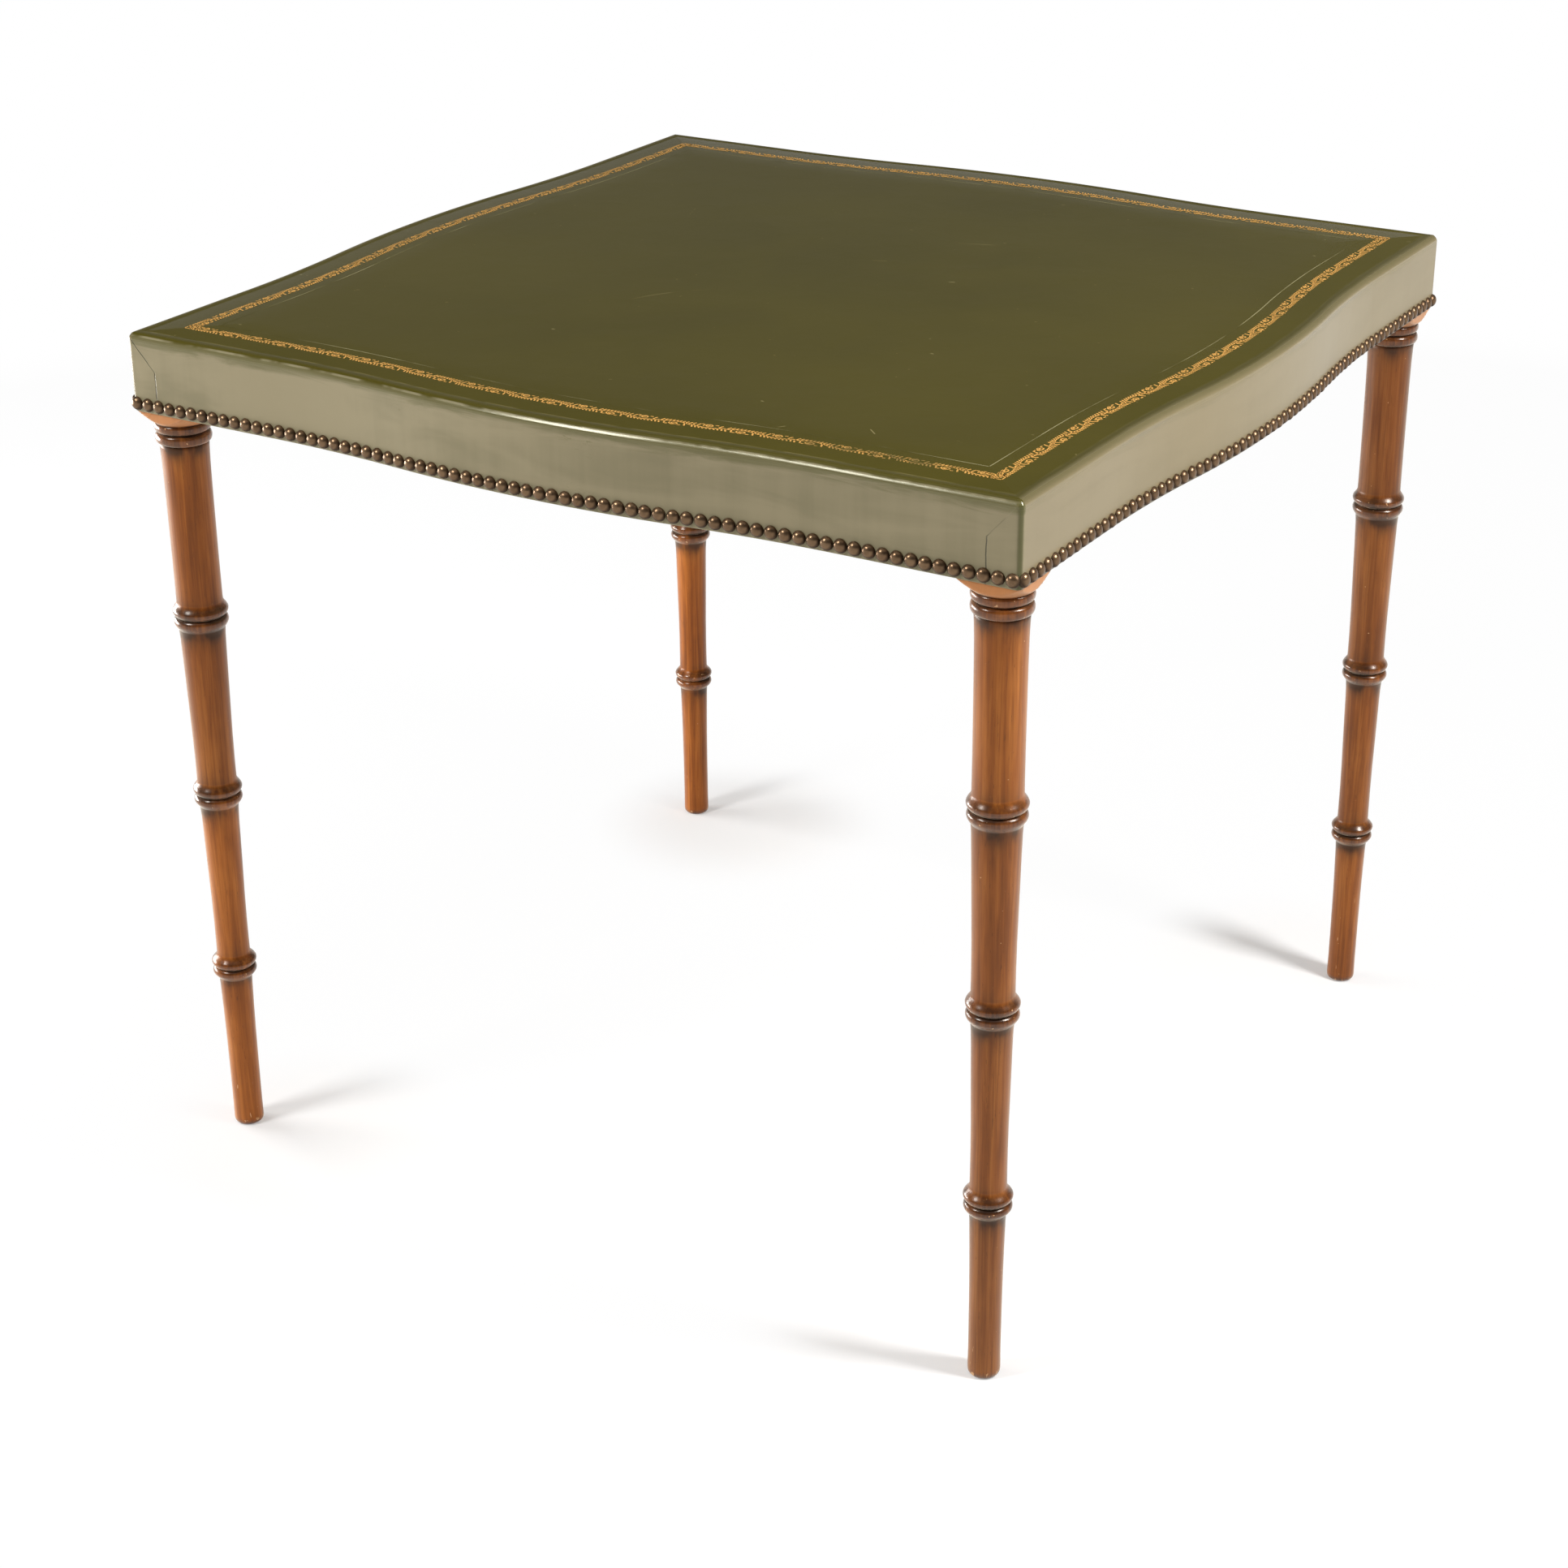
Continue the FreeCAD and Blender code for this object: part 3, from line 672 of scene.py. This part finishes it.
def goldFinish():
    mat, tree, shader = newFinish("tooledGold")
    coords = objectCoords(tree)
    worn = between(speckle(coords, 130.0, 4.0, 0.7), 0.47, 0.64)
    patchy = between(speckle(coords, 9.0, 3.0, 0.6), 0.42, 0.72)
    share = larger(times(worn, 0.55), times(patchy, 0.45))
    tone = blendColour(share, borderLook["goldColour"], borderLook["goldWorn"])
    near, far = borderLook["rubbedSize"]
    away = howFar("DISTANCE", coords, (*borderLook["rubbedPlace"], planShape["topHeight"]))
    goldRubAndArrisReflection = between(away, far, near)
    goldRubAndArrisReflection = times(goldRubAndArrisReflection, between(speckle(coords, 60.0, 3.0, 0.7), 0.30, 0.55))
    tone = wash(tone, borderLook["rubbedColour"], goldRubAndArrisReflection, 0.8)
    rough = plus(times(worn, 0.2), borderLook["roughness"])
    feed(shader, {"Base Color": tone, "Roughness": rough, "Metallic": borderLook["metallic"]})
    bumped(shader, worn, 0.2, 0.0002)
    return mat


def blindLineFinish():
    mat, tree, shader = newFinish("blindTooling")
    faint = between(speckle(objectCoords(tree), 14.0, 3.0, 0.6), 0.38, 0.62)
    tone = blendColour(faint, leatherLook["topColour"], borderLook["lineColour"])
    feed(shader, {"Base Color": tone, "Roughness": plus(times(faint, 0.1), borderLook["roughness"])})
    return mat


border = buildBorder()
border.data.materials.append(goldFinish())
blindLine = buildBlindLine()
blindLine.data.materials.append(blindLineFinish())
print("border:", len(border.data.polygons), "faces")

# domed nails
nailLook = {
    "count": 71,
    "cornerGap": 0.0056,
    "height": 0.6725,
    "radius": 0.0055,
    "dome": 0.0043,
    "radiusSpread": (0.975, 1.01),
    "domeSpread": (0.96, 1.04),
    "seed": 40,
    "sunk": 0.0002,
    "jitter": 0.00022,
    "tilt": 0.05,
    "metal": (0.205, 0.125, 0.066, 1),
    "brown": (0.140, 0.080, 0.041, 1),
    "patinaAndShade": (0.036, 0.021, 0.012, 1),
    "metallic": 0.8,
    "roughness": 0.29,
}


def sideTrack():
    # points along the leather's face with the distance covered, from corner to corner
    track, covered, last = [], 0.0, None
    steps = 2400
    for step in range(steps + 1):
        x = -outerSide + 2 * outerSide * step / steps
        px, out, normal = sidePoint(x, 0.0)
        if last:
            covered += math.hypot(px - last[0], out - last[1])
        last = (px, out)
        track.append((covered, px, out, normal))
    return track


def addDome(bm, rim, base, turned, radius, dome, spun):
    rows, levels, count = [], 8, 20
    for level in range(levels + 1):
        lean = math.radians(90) * level / levels
        flat, rise = radius * math.cos(lean), dome * math.sin(lean) ** 0.94
        row = []
        for step in range(count if level < levels else 1):
            turn = 2 * math.pi * (step + spun) / count
            spot = turned @ Vector((flat * math.cos(turn), flat * math.sin(turn), rise))
            vert = bm.verts.new(base + spot)
            vert[rim] = math.cos(lean) - 0.28 * spot.z / radius     # painted shade: darker towards the lower rim
            row.append(vert)
        rows.append(row)
    skinRows(bm, rows)


def buildNails(side, track):
    dice = random.Random(nailLook["seed"] + sideTurns[side])
    bm = bmesh.new()
    rim = bm.verts.layers.float.new("rim")
    total, gap, last = track[-1][0], nailLook["cornerGap"], nailLook["count"] - 1
    jitter, tilt = nailLook["jitter"], nailLook["tilt"]
    at = 0
    for number in range(nailLook["count"]):
        wanted = gap + (total - 2 * gap) * number / last
        while at < len(track) - 2 and track[at + 1][0] < wanted:
            at += 1
        _, px, out, normal = track[at]
        outward = turnedNormal(side, normal)
        base = onSide(side, px, out, nailLook["height"]) - outward * nailLook["sunk"]
        sideways = Vector((-outward.y, outward.x, 0))
        base += Vector((0, 0, dice.uniform(-1, 1) * jitter))
        base += sideways * dice.uniform(-1, 1) * jitter * (0.5 if 0 < number < last else 0.0)
        facing = outward + sideways * dice.uniform(-tilt, tilt) + Vector((0, 0, dice.uniform(-tilt, tilt)))
        turned = facing.normalized().to_track_quat("Z", "Y").to_matrix()
        radius = nailLook["radius"] * dice.uniform(*nailLook["radiusSpread"])
        dome = nailLook["dome"] * dice.uniform(*nailLook["domeSpread"])
        addDome(bm, rim, base, turned, radius, dome, dice.uniform(0, 1))
    row = meshPiece("nails" + side, bm)
    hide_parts("nails_" + side.lower())
    return row


def nailFinish():
    mat, tree, shader = newFinish("agedBrass")
    coords = objectCoords(tree)
    # partly patina at the rim, partly painted shade: a wide dark band that reaches furthest on the lower
    # side
    edge = between(attribute(tree, "rim"), 0.58, 1.02)
    grime = between(speckle(coords, 260.0, 3.0, 0.6), 0.42, 0.7)
    each = between(speckle(coords, 55.0, 1.0), 0.35, 0.65)
    tone = wash(nailLook["metal"], nailLook["brown"], each, 0.6)
    tone = wash(tone, nailLook["patinaAndShade"], grime, 0.22)
    tone = wash(tone, nailLook["patinaAndShade"], edge, 0.8)
    rough = plus(plus(times(grime, 0.06), nailLook["roughness"]), times(edge, 0.3))
    feed(shader, {"Base Color": tone, "Roughness": rough, "Metallic": nailLook["metallic"]})
    return mat


nailMetal = nailFinish()
nailTrack = sideTrack()
for side in sideTurns:
    buildNails(side, nailTrack).data.materials.append(nailMetal)
print("nails:", len(sideTurns) * nailLook["count"])

# turned legs
legLook = {
    "axis": 0.371,
    "postHalf": 0.025,
    "postTop": 0.7125,
    "segments": 112,
    "sharpAngle": 62,
    # side, front or back, seed of the knocks, and painted light and shade: how far each length from the
    # floor up is darkened
    "legs": {
        "front_left": (-1, -1, 1.3, (0.0, 0.0, 0.48, 0.38)),
        "front_right": (1, -1, 5.1, (0.87, 0.70, 0.60, 0.38)),
        "back_right": (1, 1, 9.7, (0.55, 0.72, 0.88, 1.0)),
        "back_left": (-1, 1, 14.2, (0.1, 0.0, 0.40, 0.50)),
    },
    # height and diameter of the plain lengths from the floor up, millimetres
    "lengths": [
        [(7, 25.6), (22, 25.3), (62, 25.5), (93, 25.9), (116, 26.6), (140, 27.6), (147, 28.3)],
        [(172, 28.4), (182, 28.2), (202, 28.1), (225, 28.5), (248, 29.4), (271, 30.2), (294, 30.9),
         (304, 31.4), (313, 32.6)],
        [(338, 33.1), (343, 33.0), (355, 32.9), (378, 33.3), (401, 34.2), (424, 35.2), (446, 36.1),
         (468, 37.2), (475, 38.2)],
        [(500, 38.0), (509, 37.8), (536, 37.7), (567, 37.9), (599, 38.2), (618, 38.6), (631, 39.4),
         (637, 40.2)],
    ],
    # groove height, upper and lower ring diameter
    "rings": [(158.6, 38.4, 37.6), (324.3, 41.2, 40.6), (486.8, 45.8, 44.9)],
    "crestAbove": 5.1,          # from the groove to the crest of each ring, then the fall to the length
    "crestBelow": 4.4,
    "fallAbove": 8.2,
    "fallBelow": 7.2,
    "grooveDepth": 4.2,
    # rounded foot and the grooves of the collar: height, radius, stain and painted shade, share of ring
    "foot": [(0.0, 0.0, 0.1, 0), (0.0, 8.6, 0.15, 0), (0.35, 10.4, 0.2, 1), (1.2, 11.7, 0.2, 1),
             (2.6, 12.5, 0.15, 1), (4.6, 12.78, 0.1, 0.3)],
    "collarGroove": [(646.7, 19.3, 1.0, 0), (647.5, 19.4, 1.0, 0)],
    "quirk": (655.1, 21.7, 1.0, 0),
    # middle height, half height, inner radius, swell, first and last lean, steps, stain and painted shade,
    # wear
    "collarBead": (641.9, 4.4, 19.6, 3.2, -90, 90, 14, 0.95, 0.65),
    "collarBand": (651.4, 3.6, 20.6, 2.3, -80, 70, 10, 0.9, 0.6),
    "cone": (655.3, 10.7, 22.2, 13.16),     # height, rise, radius, growth
    "postReach": 40.0,          # past the corners of the post, which cuts it square
    "knockFrom": 0.45,
    "knockDepth": 0.0006,
    "lightWood": (0.575, 0.193, 0.0290, 1),
    "midWood": (0.352, 0.0955, 0.0098, 1),
    "darkWood": (0.174, 0.0415, 0.0042, 1),
    "deepestTone": (0.45, 0.45, 0.57, 1),     # share of the colour left where a length is darkened most
    "umber": (0.026, 0.0080, 0.0026, 1),
    "coneWood": (0.520, 0.215, 0.075, 1),
    "rawWood": (0.62, 0.34, 0.15, 1),
    "roughness": 0.28,
    "ior": 1.35,
    "shineTint": (1.0, 0.84, 0.69, 1),
    "wax": 0.50,                # dry wax pales the wood where it is seen edge on
    "waxRoughness": 0.42,
    "waxTint": (1.0, 0.88, 0.68, 1),
    "polish": 0.45,             # old polish left on the rings
    "polishRoughness": 0.22,
    "polishIor": 1.6,
}


def legProfile():
    # (height, radius, stain and painted light, ring) from the floor up, in millimetres
    rings, lengths = legLook["rings"], legLook["lengths"]
    section = list(legLook["foot"])
    for number, points in enumerate(lengths):
        low, high = points[0][0], points[-1][0]
        if number < len(rings):
            high = rings[number][0] - legLook["crestBelow"] - legLook["fallBelow"]
        if number:
            low = rings[number - 1][0] + legLook["crestAbove"] + legLook["fallAbove"]
        steps = max(10, int((high - low) / 3.5))
        for step in range(steps + 1):
            z = low + (high - low) * step / steps
            section.append((z, runWidth(points, z) / 2, lengthStainAndShade(z, low, high, number), 0))
        if number < len(rings):
            section += ringSection(rings[number], points, lengths[number + 1])
    section += beadSection(*legLook["collarBead"]) + legLook["collarGroove"]
    section += beadSection(*legLook["collarBand"]) + [legLook["quirk"]]
    # the cone up to the square post, painted pale as if lit from the floor below
    start, rise, radius, growth = legLook["cone"]
    steps = 8
    for step in range(1, steps + 1):
        share = step / steps
        section.append((start + rise * share, radius + growth * share, 0.6 * math.exp(-step) - 0.5, 0))
    section += [(z, legLook["postReach"], 0.3, 0) for z in (690.0, legLook["postTop"] * 1000)]
    return section


def beadSection(middle, half, inner, swell, first, last, steps, dark, wear):
    section = []
    for step in range(steps + 1):
        lean = math.radians(first + (last - first) * step / steps)
        crest = math.cos(lean) ** 0.8
        section.append((middle + half * math.sin(lean), inner + swell * crest, dark - wear * crest, crest))
    return section


def ringSection(ring, below, above):
    # two crests either side of a groove, each falling away to its length in a soft curve
    groove, upper, lower = ring
    upper, lower = upper / 2, lower / 2
    neck = upper - legLook["grooveDepth"]
    crestBelow, crestAbove = legLook["crestBelow"], legLook["crestAbove"]
    fallBelow, fallAbove = legLook["fallBelow"], legLook["fallAbove"]
    fallSteps, crestSteps = 12, 8
    # stain and painted shade: darkest in the groove and on the length just under the ring
    section = []
    foot = groove - crestBelow - fallBelow
    footRadius = runWidth(below, foot) / 2
    for step in range(1, fallSteps + 1):
        share = step / fallSteps
        rise = (1 - math.cos(math.pi * share ** 0.75)) / 2
        radius = footRadius + (lower - footRadius) * rise
        section.append((foot + fallBelow * share, radius, 0.95 - 0.75 * rise, rise))
    leans = [math.radians(90) * step / crestSteps for step in range(1, crestSteps + 1)]
    for lean in leans:
        crest = math.cos(lean) ** 1.15
        z = groove - crestBelow * (1 - math.sin(lean))
        section.append((z, neck + (lower - neck) * crest, 1.0 - 0.7 * crest ** 3, crest))
    for lean in leans:
        crest = math.sin(lean) ** 1.15
        z = groove + crestAbove * (1 - math.cos(lean))
        section.append((z, neck + (upper - neck) * crest, 1.0 - 0.7 * crest ** 3, crest))
    top = groove + crestAbove + fallAbove
    topRadius = runWidth(above, top) / 2
    for step in range(1, fallSteps):
        share = step / fallSteps
        rise = (1 + math.cos(math.pi * share ** 0.85)) / 2
        stainAndPaintedLight = 0.2 + 0.42 * math.sin(math.pi * share ** 0.7)
        section.append((top - fallAbove * (1 - share), topRadius + (upper - topRadius) * rise, stainAndPaintedLight, rise))
    return section


def runWidth(points, z):
    if z <= points[0][0]:
        return points[0][1]
    for (z0, w0), (z1, w1) in zip(points, points[1:]):
        if z <= z1 + 1e-9:
            return w0 + (w1 - w0) * (z - z0) / (z1 - z0)
    return points[-1][1]


def lengthStainAndShade(z, low, high, number):
    # stain and painted shade: darker against the rings, most of all below them
    below = math.exp(-(high - z) / 8.0) * 0.95 + math.exp(-(high - z) / 26.0) * 0.22
    above = math.exp(-(z - low) / 12.0) * 0.30 + math.exp(-(z - low) / 30.0) * 0.10 if number else 0.0
    return min(1.0, below + above)


def buildLeg(name, across, inward, seed, depths):
    bm = bmesh.new()
    stainAndPaintedLight = bm.verts.layers.float.new("stainAndPaintedLight")
    deep = bm.verts.layers.float.new("deep")
    ring = bm.verts.layers.float.new("ring")
    count = legLook["segments"]
    centre = Vector((across * legLook["axis"], inward * legLook["axis"], 0))
    rows = []
    for z, radius, dark, crest in legProfile():
        row = []
        for step in range(count if radius > 0 else 1):
            turn = 2 * math.pi * step / count
            east, north = math.cos(turn), math.sin(turn)
            reach = radius / 1000
            if z > legLook["quirk"][0]:
                reach = min(reach, legLook["postHalf"] / max(abs(east), abs(north)))
            if crest > 0.2:
                knock = noise.noise(Vector((east * 3 + seed, north * 3, z * 0.05)))
                reach -= max(0.0, knock - legLook["knockFrom"]) * legLook["knockDepth"]
            vert = bm.verts.new(centre + Vector((reach * east, reach * north, z / 1000)))
            vert[stainAndPaintedLight] = dark
            vert[deep] = depths[sum(z > each[0] for each in legLook["rings"])]
            vert[ring] = crest
            row.append(vert)
        rows.append(row)
    skinRows(bm, rows)
    bm.faces.new(rows[-1])
    bmesh.ops.remove_doubles(bm, verts=bm.verts[:], dist=1e-6)
    bmesh.ops.recalc_face_normals(bm, faces=bm.faces[:])
    leg = meshPiece("leg" + name.title().replace("_", ""), bm, legLook["sharpAngle"])
    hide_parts("leg_" + name)
    return leg


def bareWood(coords, crest):
    # chips on the crests and at the foot, upright scrapes low on the leg, and a few dots
    height = splitXYZ(coords)[2]
    nearFloor = between(height, 0.012, 0.003)
    chips = plus(speckle(coords, 210.0, 2.0, 0.5), times(nearFloor, 0.09))
    knocked = larger(between(crest, 0.45, 0.85), nearFloor)
    bare = times(between(chips, 0.685, 0.72), knocked)
    scrape = between(drawnOut(coords, (420.0, 420.0, 60.0), 1.0), 0.765, 0.79)
    bare = larger(bare, times(scrape, between(height, 0.11, 0.05)))
    dots = between(speckle(coords, 330.0, 1.0), 0.80, 0.82)
    return larger(bare, times(dots, 0.8))


def legFinish():
    mat, tree, shader = newFinish("stainedLegWood")
    coords = objectCoords(tree)
    grain = drawnOut(coords, (210.0, 210.0, 6.0), 5.0, 0.66, 0.5)
    fine = drawnOut(coords, (620.0, 620.0, 16.0), 3.0, 0.6)
    cloud = drawnOut(coords, (26.0, 26.0, 9.0), 3.0)
    pores = between(drawnOut(coords, (900.0, 900.0, 110.0), 2.0), 0.66, 0.74)
    figure = plus(times(grain, 0.6), times(cloud, 0.4))
    woods = [(0.32, legLook["darkWood"]), (0.48, legLook["midWood"]), (0.66, legLook["lightWood"])]
    tone = ramp(figure, woods)
    tone = wash(tone, legLook["darkWood"], between(fine, 0.48, 0.70), 0.38)
    tone = wash(tone, legLook["umber"], pores, 0.4)
    # painted light and shade: each length of each leg darkened by its own share
    tone = blendColour(attribute(tree, "deep"), tone, legLook["deepestTone"], "MULTIPLY")
    # painted light: a paler cone; then the dark stain and painted shade beside the rings and in the grooves
    stainAndPaintedLight = attribute(tree, "stainAndPaintedLight")
    tone = wash(tone, legLook["coneWood"], between(stainAndPaintedLight, -0.1, -0.45), 0.8)
    patches = between(drawnOut(coords, (60.0, 60.0, 24.0), 3.0), 0.30, 0.66)
    uneven = times(stainAndPaintedLight, plus(times(patches, 0.75), 0.42))
    tone = wash(tone, legLook["umber"], between(uneven, 0.02, 0.95), 0.92)
    # soaked and rubbed crests, and small knocks down to raw wood
    crest = attribute(tree, "ring")
    tone = wash(tone, legLook["umber"], crest, plus(times(patches, 0.40), 0.34))
    rub = times(between(crest, 0.75, 1.0), between(grain, 0.42, 0.62))
    tone = wash(tone, legLook["midWood"], rub, 0.22)
    bare = bareWood(coords, crest)
    tone = wash(tone, legLook["rawWood"], bare, 0.85)

    rough = plus(times(grain, 0.12), legLook["roughness"])
    rough = plus(minus(rough, times(crest, 0.14)), times(bare, 0.3))
    relief = plus(times(fine, 0.25), times(grain, 0.35))
    relief = minus(relief, times(plus(bare, pores), 0.35))
    relief = times(relief, minus(1.0, times(crest, 0.95)))
    bumped(shader, relief, 0.20, 0.0006)
    feed(shader, {
        "Base Color": tone, "Roughness": rough,
        "IOR": legLook["ior"], "Specular Tint": legLook["shineTint"],
        "Sheen Weight": legLook["wax"], "Sheen Roughness": legLook["waxRoughness"],
        "Sheen Tint": legLook["waxTint"], "Coat Weight": times(crest, legLook["polish"]),
        "Coat Roughness": legLook["polishRoughness"], "Coat IOR": legLook["polishIor"],
    })
    return mat


legWood = legFinish()
for name, setting in legLook["legs"].items():
    buildLeg(name, *setting).data.materials.append(legWood)
print("legs turned")

# plain wood and screws under the top
frameLook = {
    "pale": (0.46, 0.30, 0.155, 1),
    "rings": (0.30, 0.172, 0.078, 1),
    "aged": (0.2, 0.12, 0.06, 1),
    "ply": (0.52, 0.37, 0.205, 1),
    "plyDark": (0.36, 0.235, 0.12, 1),
    "boardFigure": (4.0, 46.0, 46.0),
    "plyFigure": (1.6, 13.0, 60.0),
    "woodRoughness": 0.55,
    "steel": (0.42, 0.41, 0.39, 1),
    "rust": (0.16, 0.085, 0.045, 1),
    "steelRoughness": 0.35,
}


def boardFinish(name, degrees, light="pale", dark="rings", figure="boardFigure"):
    mat, tree, shader = newFinish(name)
    coords = stretched(objectCoords(tree), (1, 1, 1), (0, 0, math.radians(degrees)))
    rings = drawnOut(coords, frameLook[figure], 4.0, 0.6, 1.2)
    fibre = drawnOut(coords, (9.0, 520.0, 520.0), 3.0, 0.65)
    age = speckle(coords, 6.0, 3.0, 0.55)
    tone = blendColour(between(rings, 0.36, 0.68), frameLook[light], frameLook[dark])
    tone = wash(tone, frameLook[dark], between(fibre, 0.48, 0.75), 0.35)
    tone = wash(tone, frameLook["aged"], between(age, 0.5, 0.75), 0.3)
    rough = plus(times(fibre, 0.2), frameLook["woodRoughness"])
    feed(shader, {"Base Color": tone, "Roughness": rough})
    bumped(shader, plus(fibre, rings), 0.25, 0.0005)
    return mat


def screwFinish():
    mat, tree, shader = newFinish("dullScrewSteel")
    rust = between(speckle(objectCoords(tree), 320.0, 4.0, 0.65), 0.5, 0.68)
    tone = wash(frameLook["steel"], frameLook["rust"], rust, 0.7)
    metal = minus(1.0, times(rust, 0.6))
    rough = plus(times(rust, 0.35), frameLook["steelRoughness"])
    feed(shader, {"Base Color": tone, "Metallic": metal, "Roughness": rough})
    return mat


def dress(mat, *nodes):
    for node in nodes:
        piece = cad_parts[node]
        piece.data.materials.clear()
        piece.data.materials.append(mat)


acrossWood = boardFinish("railWoodAcross", 0)
deepWood = boardFinish("railWoodDeep", 90)
for board in ("rail_", "cleat_", "lipping_"):
    dress(acrossWood, board + "front", board + "back")
    dress(deepWood, board + "left", board + "right")
dress(boardFinish("braceWood", 45), "corner_brace_front_left", "corner_brace_back_right")
dress(boardFinish("braceWoodOpposite", -45), "corner_brace_front_right", "corner_brace_back_left")
dress(boardFinish("panelPly", 0, "ply", "plyDark", "plyFigure"), "top_panel")
dress(screwFinish(), "panel_screws", "cleat_screws", "brace_screws")
print("underside dressed")

# floor, light and camera
studioLook = {
    "floorSize": 60.0,
    "floorColour": (0.95, 0.95, 0.95, 1),
    "footGlow": 0.30,           # share of plain white that shows beside a foot
    "paperGlow": 0.95,          # and away from the feet
    "footReach": (0.05, 0.17),
    "footShadow": 0.315,        # the shadows fall inward from the feet
    "paperEdge": (0.9, 2.6),    # the paper whitens to the backdrop between these distances
    "skyLow": (1.0, 1.0, 1.0, 1),
    "skyMiddle": (0.07, 0.07, 0.07, 1),
    "skyHigh": (0.7, 0.7, 0.7, 1),
    "wallFoot": (0.07, 0.15),   # heights in the sky where the white gives way to the room
    "ceiling": (0.72, 0.92),    # and the room to the ceiling
    "skyStrength": 1.0,
    # place, target, width, height, power
    "lamps": {
        "softboxFront": ((-1.20, -1.95, 2.30), (0, 0, 0.6), 0.60, 0.60, 42.0),
        "softboxLeft": ((-2.10, -0.40, 0.46), (0, 0, 0.40), 1.30, 0.54, 43.0),
        "softboxRight": ((2.00, 0.05, 2.30), (0, 0, 0.5), 0.50, 0.70, 72.0),
    },
}


def paperGlow(tree):
    # the shadow shows beside the feet, and the paper is white further off
    coords = objectCoords(tree)
    paper = between(howFar("LENGTH", coords), *studioLook["paperEdge"])
    x, y, _ = splitXYZ(coords)
    offX = minus(positive(x), studioLook["footShadow"])
    offY = minus(positive(y), legLook["axis"])
    offFoot = between(hypot(offX, offY), *studioLook["footReach"])
    glow = times(offFoot, studioLook["paperGlow"] - studioLook["footGlow"])
    return larger(plus(glow, studioLook["footGlow"]), paper)


def buildFloor():
    half = studioLook["floorSize"] / 2
    bm = bmesh.new()
    corners = ((-half, -half), (half, -half), (half, half), (-half, half))
    bm.faces.new([bm.verts.new((x, y, 0)) for x, y in corners])
    floor = newObject("studioFloor", bm)
    mat = bpy.data.materials.new("paleFloor")
    mat.use_nodes = True
    tree = mat.node_tree
    nodes = tree.nodes
    nodes.clear()
    matte = nodes.new("ShaderNodeBsdfDiffuse")
    feed(matte, {"Color": studioLook["floorColour"]})
    white = nodes.new("ShaderNodeEmission")
    feed(white, {"Color": (1, 1, 1, 1)})
    rays = nodes.new("ShaderNodeLightPath").outputs
    seen = larger(rays["Is Camera Ray"], rays["Is Glossy Ray"])
    seen = larger(seen, rays["Is Transmission Ray"])
    mixed = nodes.new("ShaderNodeMixShader")
    feed(mixed, {0: times(seen, paperGlow(tree)), 1: matte.outputs[0], 2: white.outputs[0]})
    # open from below, so that the underside can be looked at
    behind = nodes.new("ShaderNodeNewGeometry").outputs["Backfacing"]
    clear = nodes.new("ShaderNodeBsdfTransparent").outputs[0]
    below = nodes.new("ShaderNodeMixShader")
    feed(below, {0: behind, 1: mixed.outputs[0], 2: clear})
    feed(nodes.new("ShaderNodeOutputMaterial"), {"Surface": below.outputs[0]})
    floor.data.materials.append(mat)


def buildSky():
    # white at the floor line, dim room above it, a pale ceiling overhead
    world = bpy.data.worlds.new("studio")
    bpy.context.scene.world = world
    world.use_nodes = True
    tree = world.node_tree
    height = splitXYZ(tree.nodes.new("ShaderNodeTexCoord").outputs["Generated"])[2]
    wall = between(height, *studioLook["wallFoot"])
    ceiling = between(height, *studioLook["ceiling"])
    tone = blendColour(wall, studioLook["skyLow"], studioLook["skyMiddle"])
    tone = blendColour(ceiling, tone, studioLook["skyHigh"])
    feed(tree.nodes["Background"], {"Color": tone, "Strength": studioLook["skyStrength"]})


def buildLamps():
    for name, (place, target, width, height, power) in studioLook["lamps"].items():
        data = bpy.data.lights.new(name, "AREA")
        data.shape = "RECTANGLE"
        data.size = width
        data.size_y = height
        data.energy = power
        lamp = bpy.data.objects.new(name, data)
        lamp.location = place
        lamp.rotation_euler = (Vector(target) - Vector(place)).to_track_quat("-Z", "Y").to_euler()
        bpy.context.scene.collection.objects.link(lamp)


# seen from the right of the front, looking down
cameraLook = {
    "place": (1.2478, -2.1002, 1.4098),
    "sensor": 36.0,
    "lens": 69.08,
    "yaw": 0.5477,
    "pitch": 0.4370,
    "roll": -0.0085,
}


def buildCamera():
    yaw, pitch, roll = cameraLook["yaw"], cameraLook["pitch"], cameraLook["roll"]
    ahead = Vector((-math.sin(yaw) * math.cos(pitch), math.cos(yaw) * math.cos(pitch), -math.sin(pitch)))
    right = Vector((math.cos(yaw), math.sin(yaw), 0))
    up = right.cross(ahead)
    rolledRight = right * math.cos(roll) + up * math.sin(roll)
    rolledUp = up * math.cos(roll) - right * math.sin(roll)
    turned = Matrix((rolledRight, rolledUp, -ahead)).transposed().to_4x4()
    data = bpy.data.cameras.new("photoCamera")
    data.sensor_width = cameraLook["sensor"]
    data.lens = cameraLook["lens"]
    camera = bpy.data.objects.new("photoCamera", data)
    camera.matrix_world = Matrix.Translation(cameraLook["place"]) @ turned
    bpy.context.scene.collection.objects.link(camera)
    bpy.context.scene.camera = camera


buildFloor()
buildSky()
buildLamps()
buildCamera()
bpy.context.scene.view_settings.view_transform = "Standard"
print("studio set")
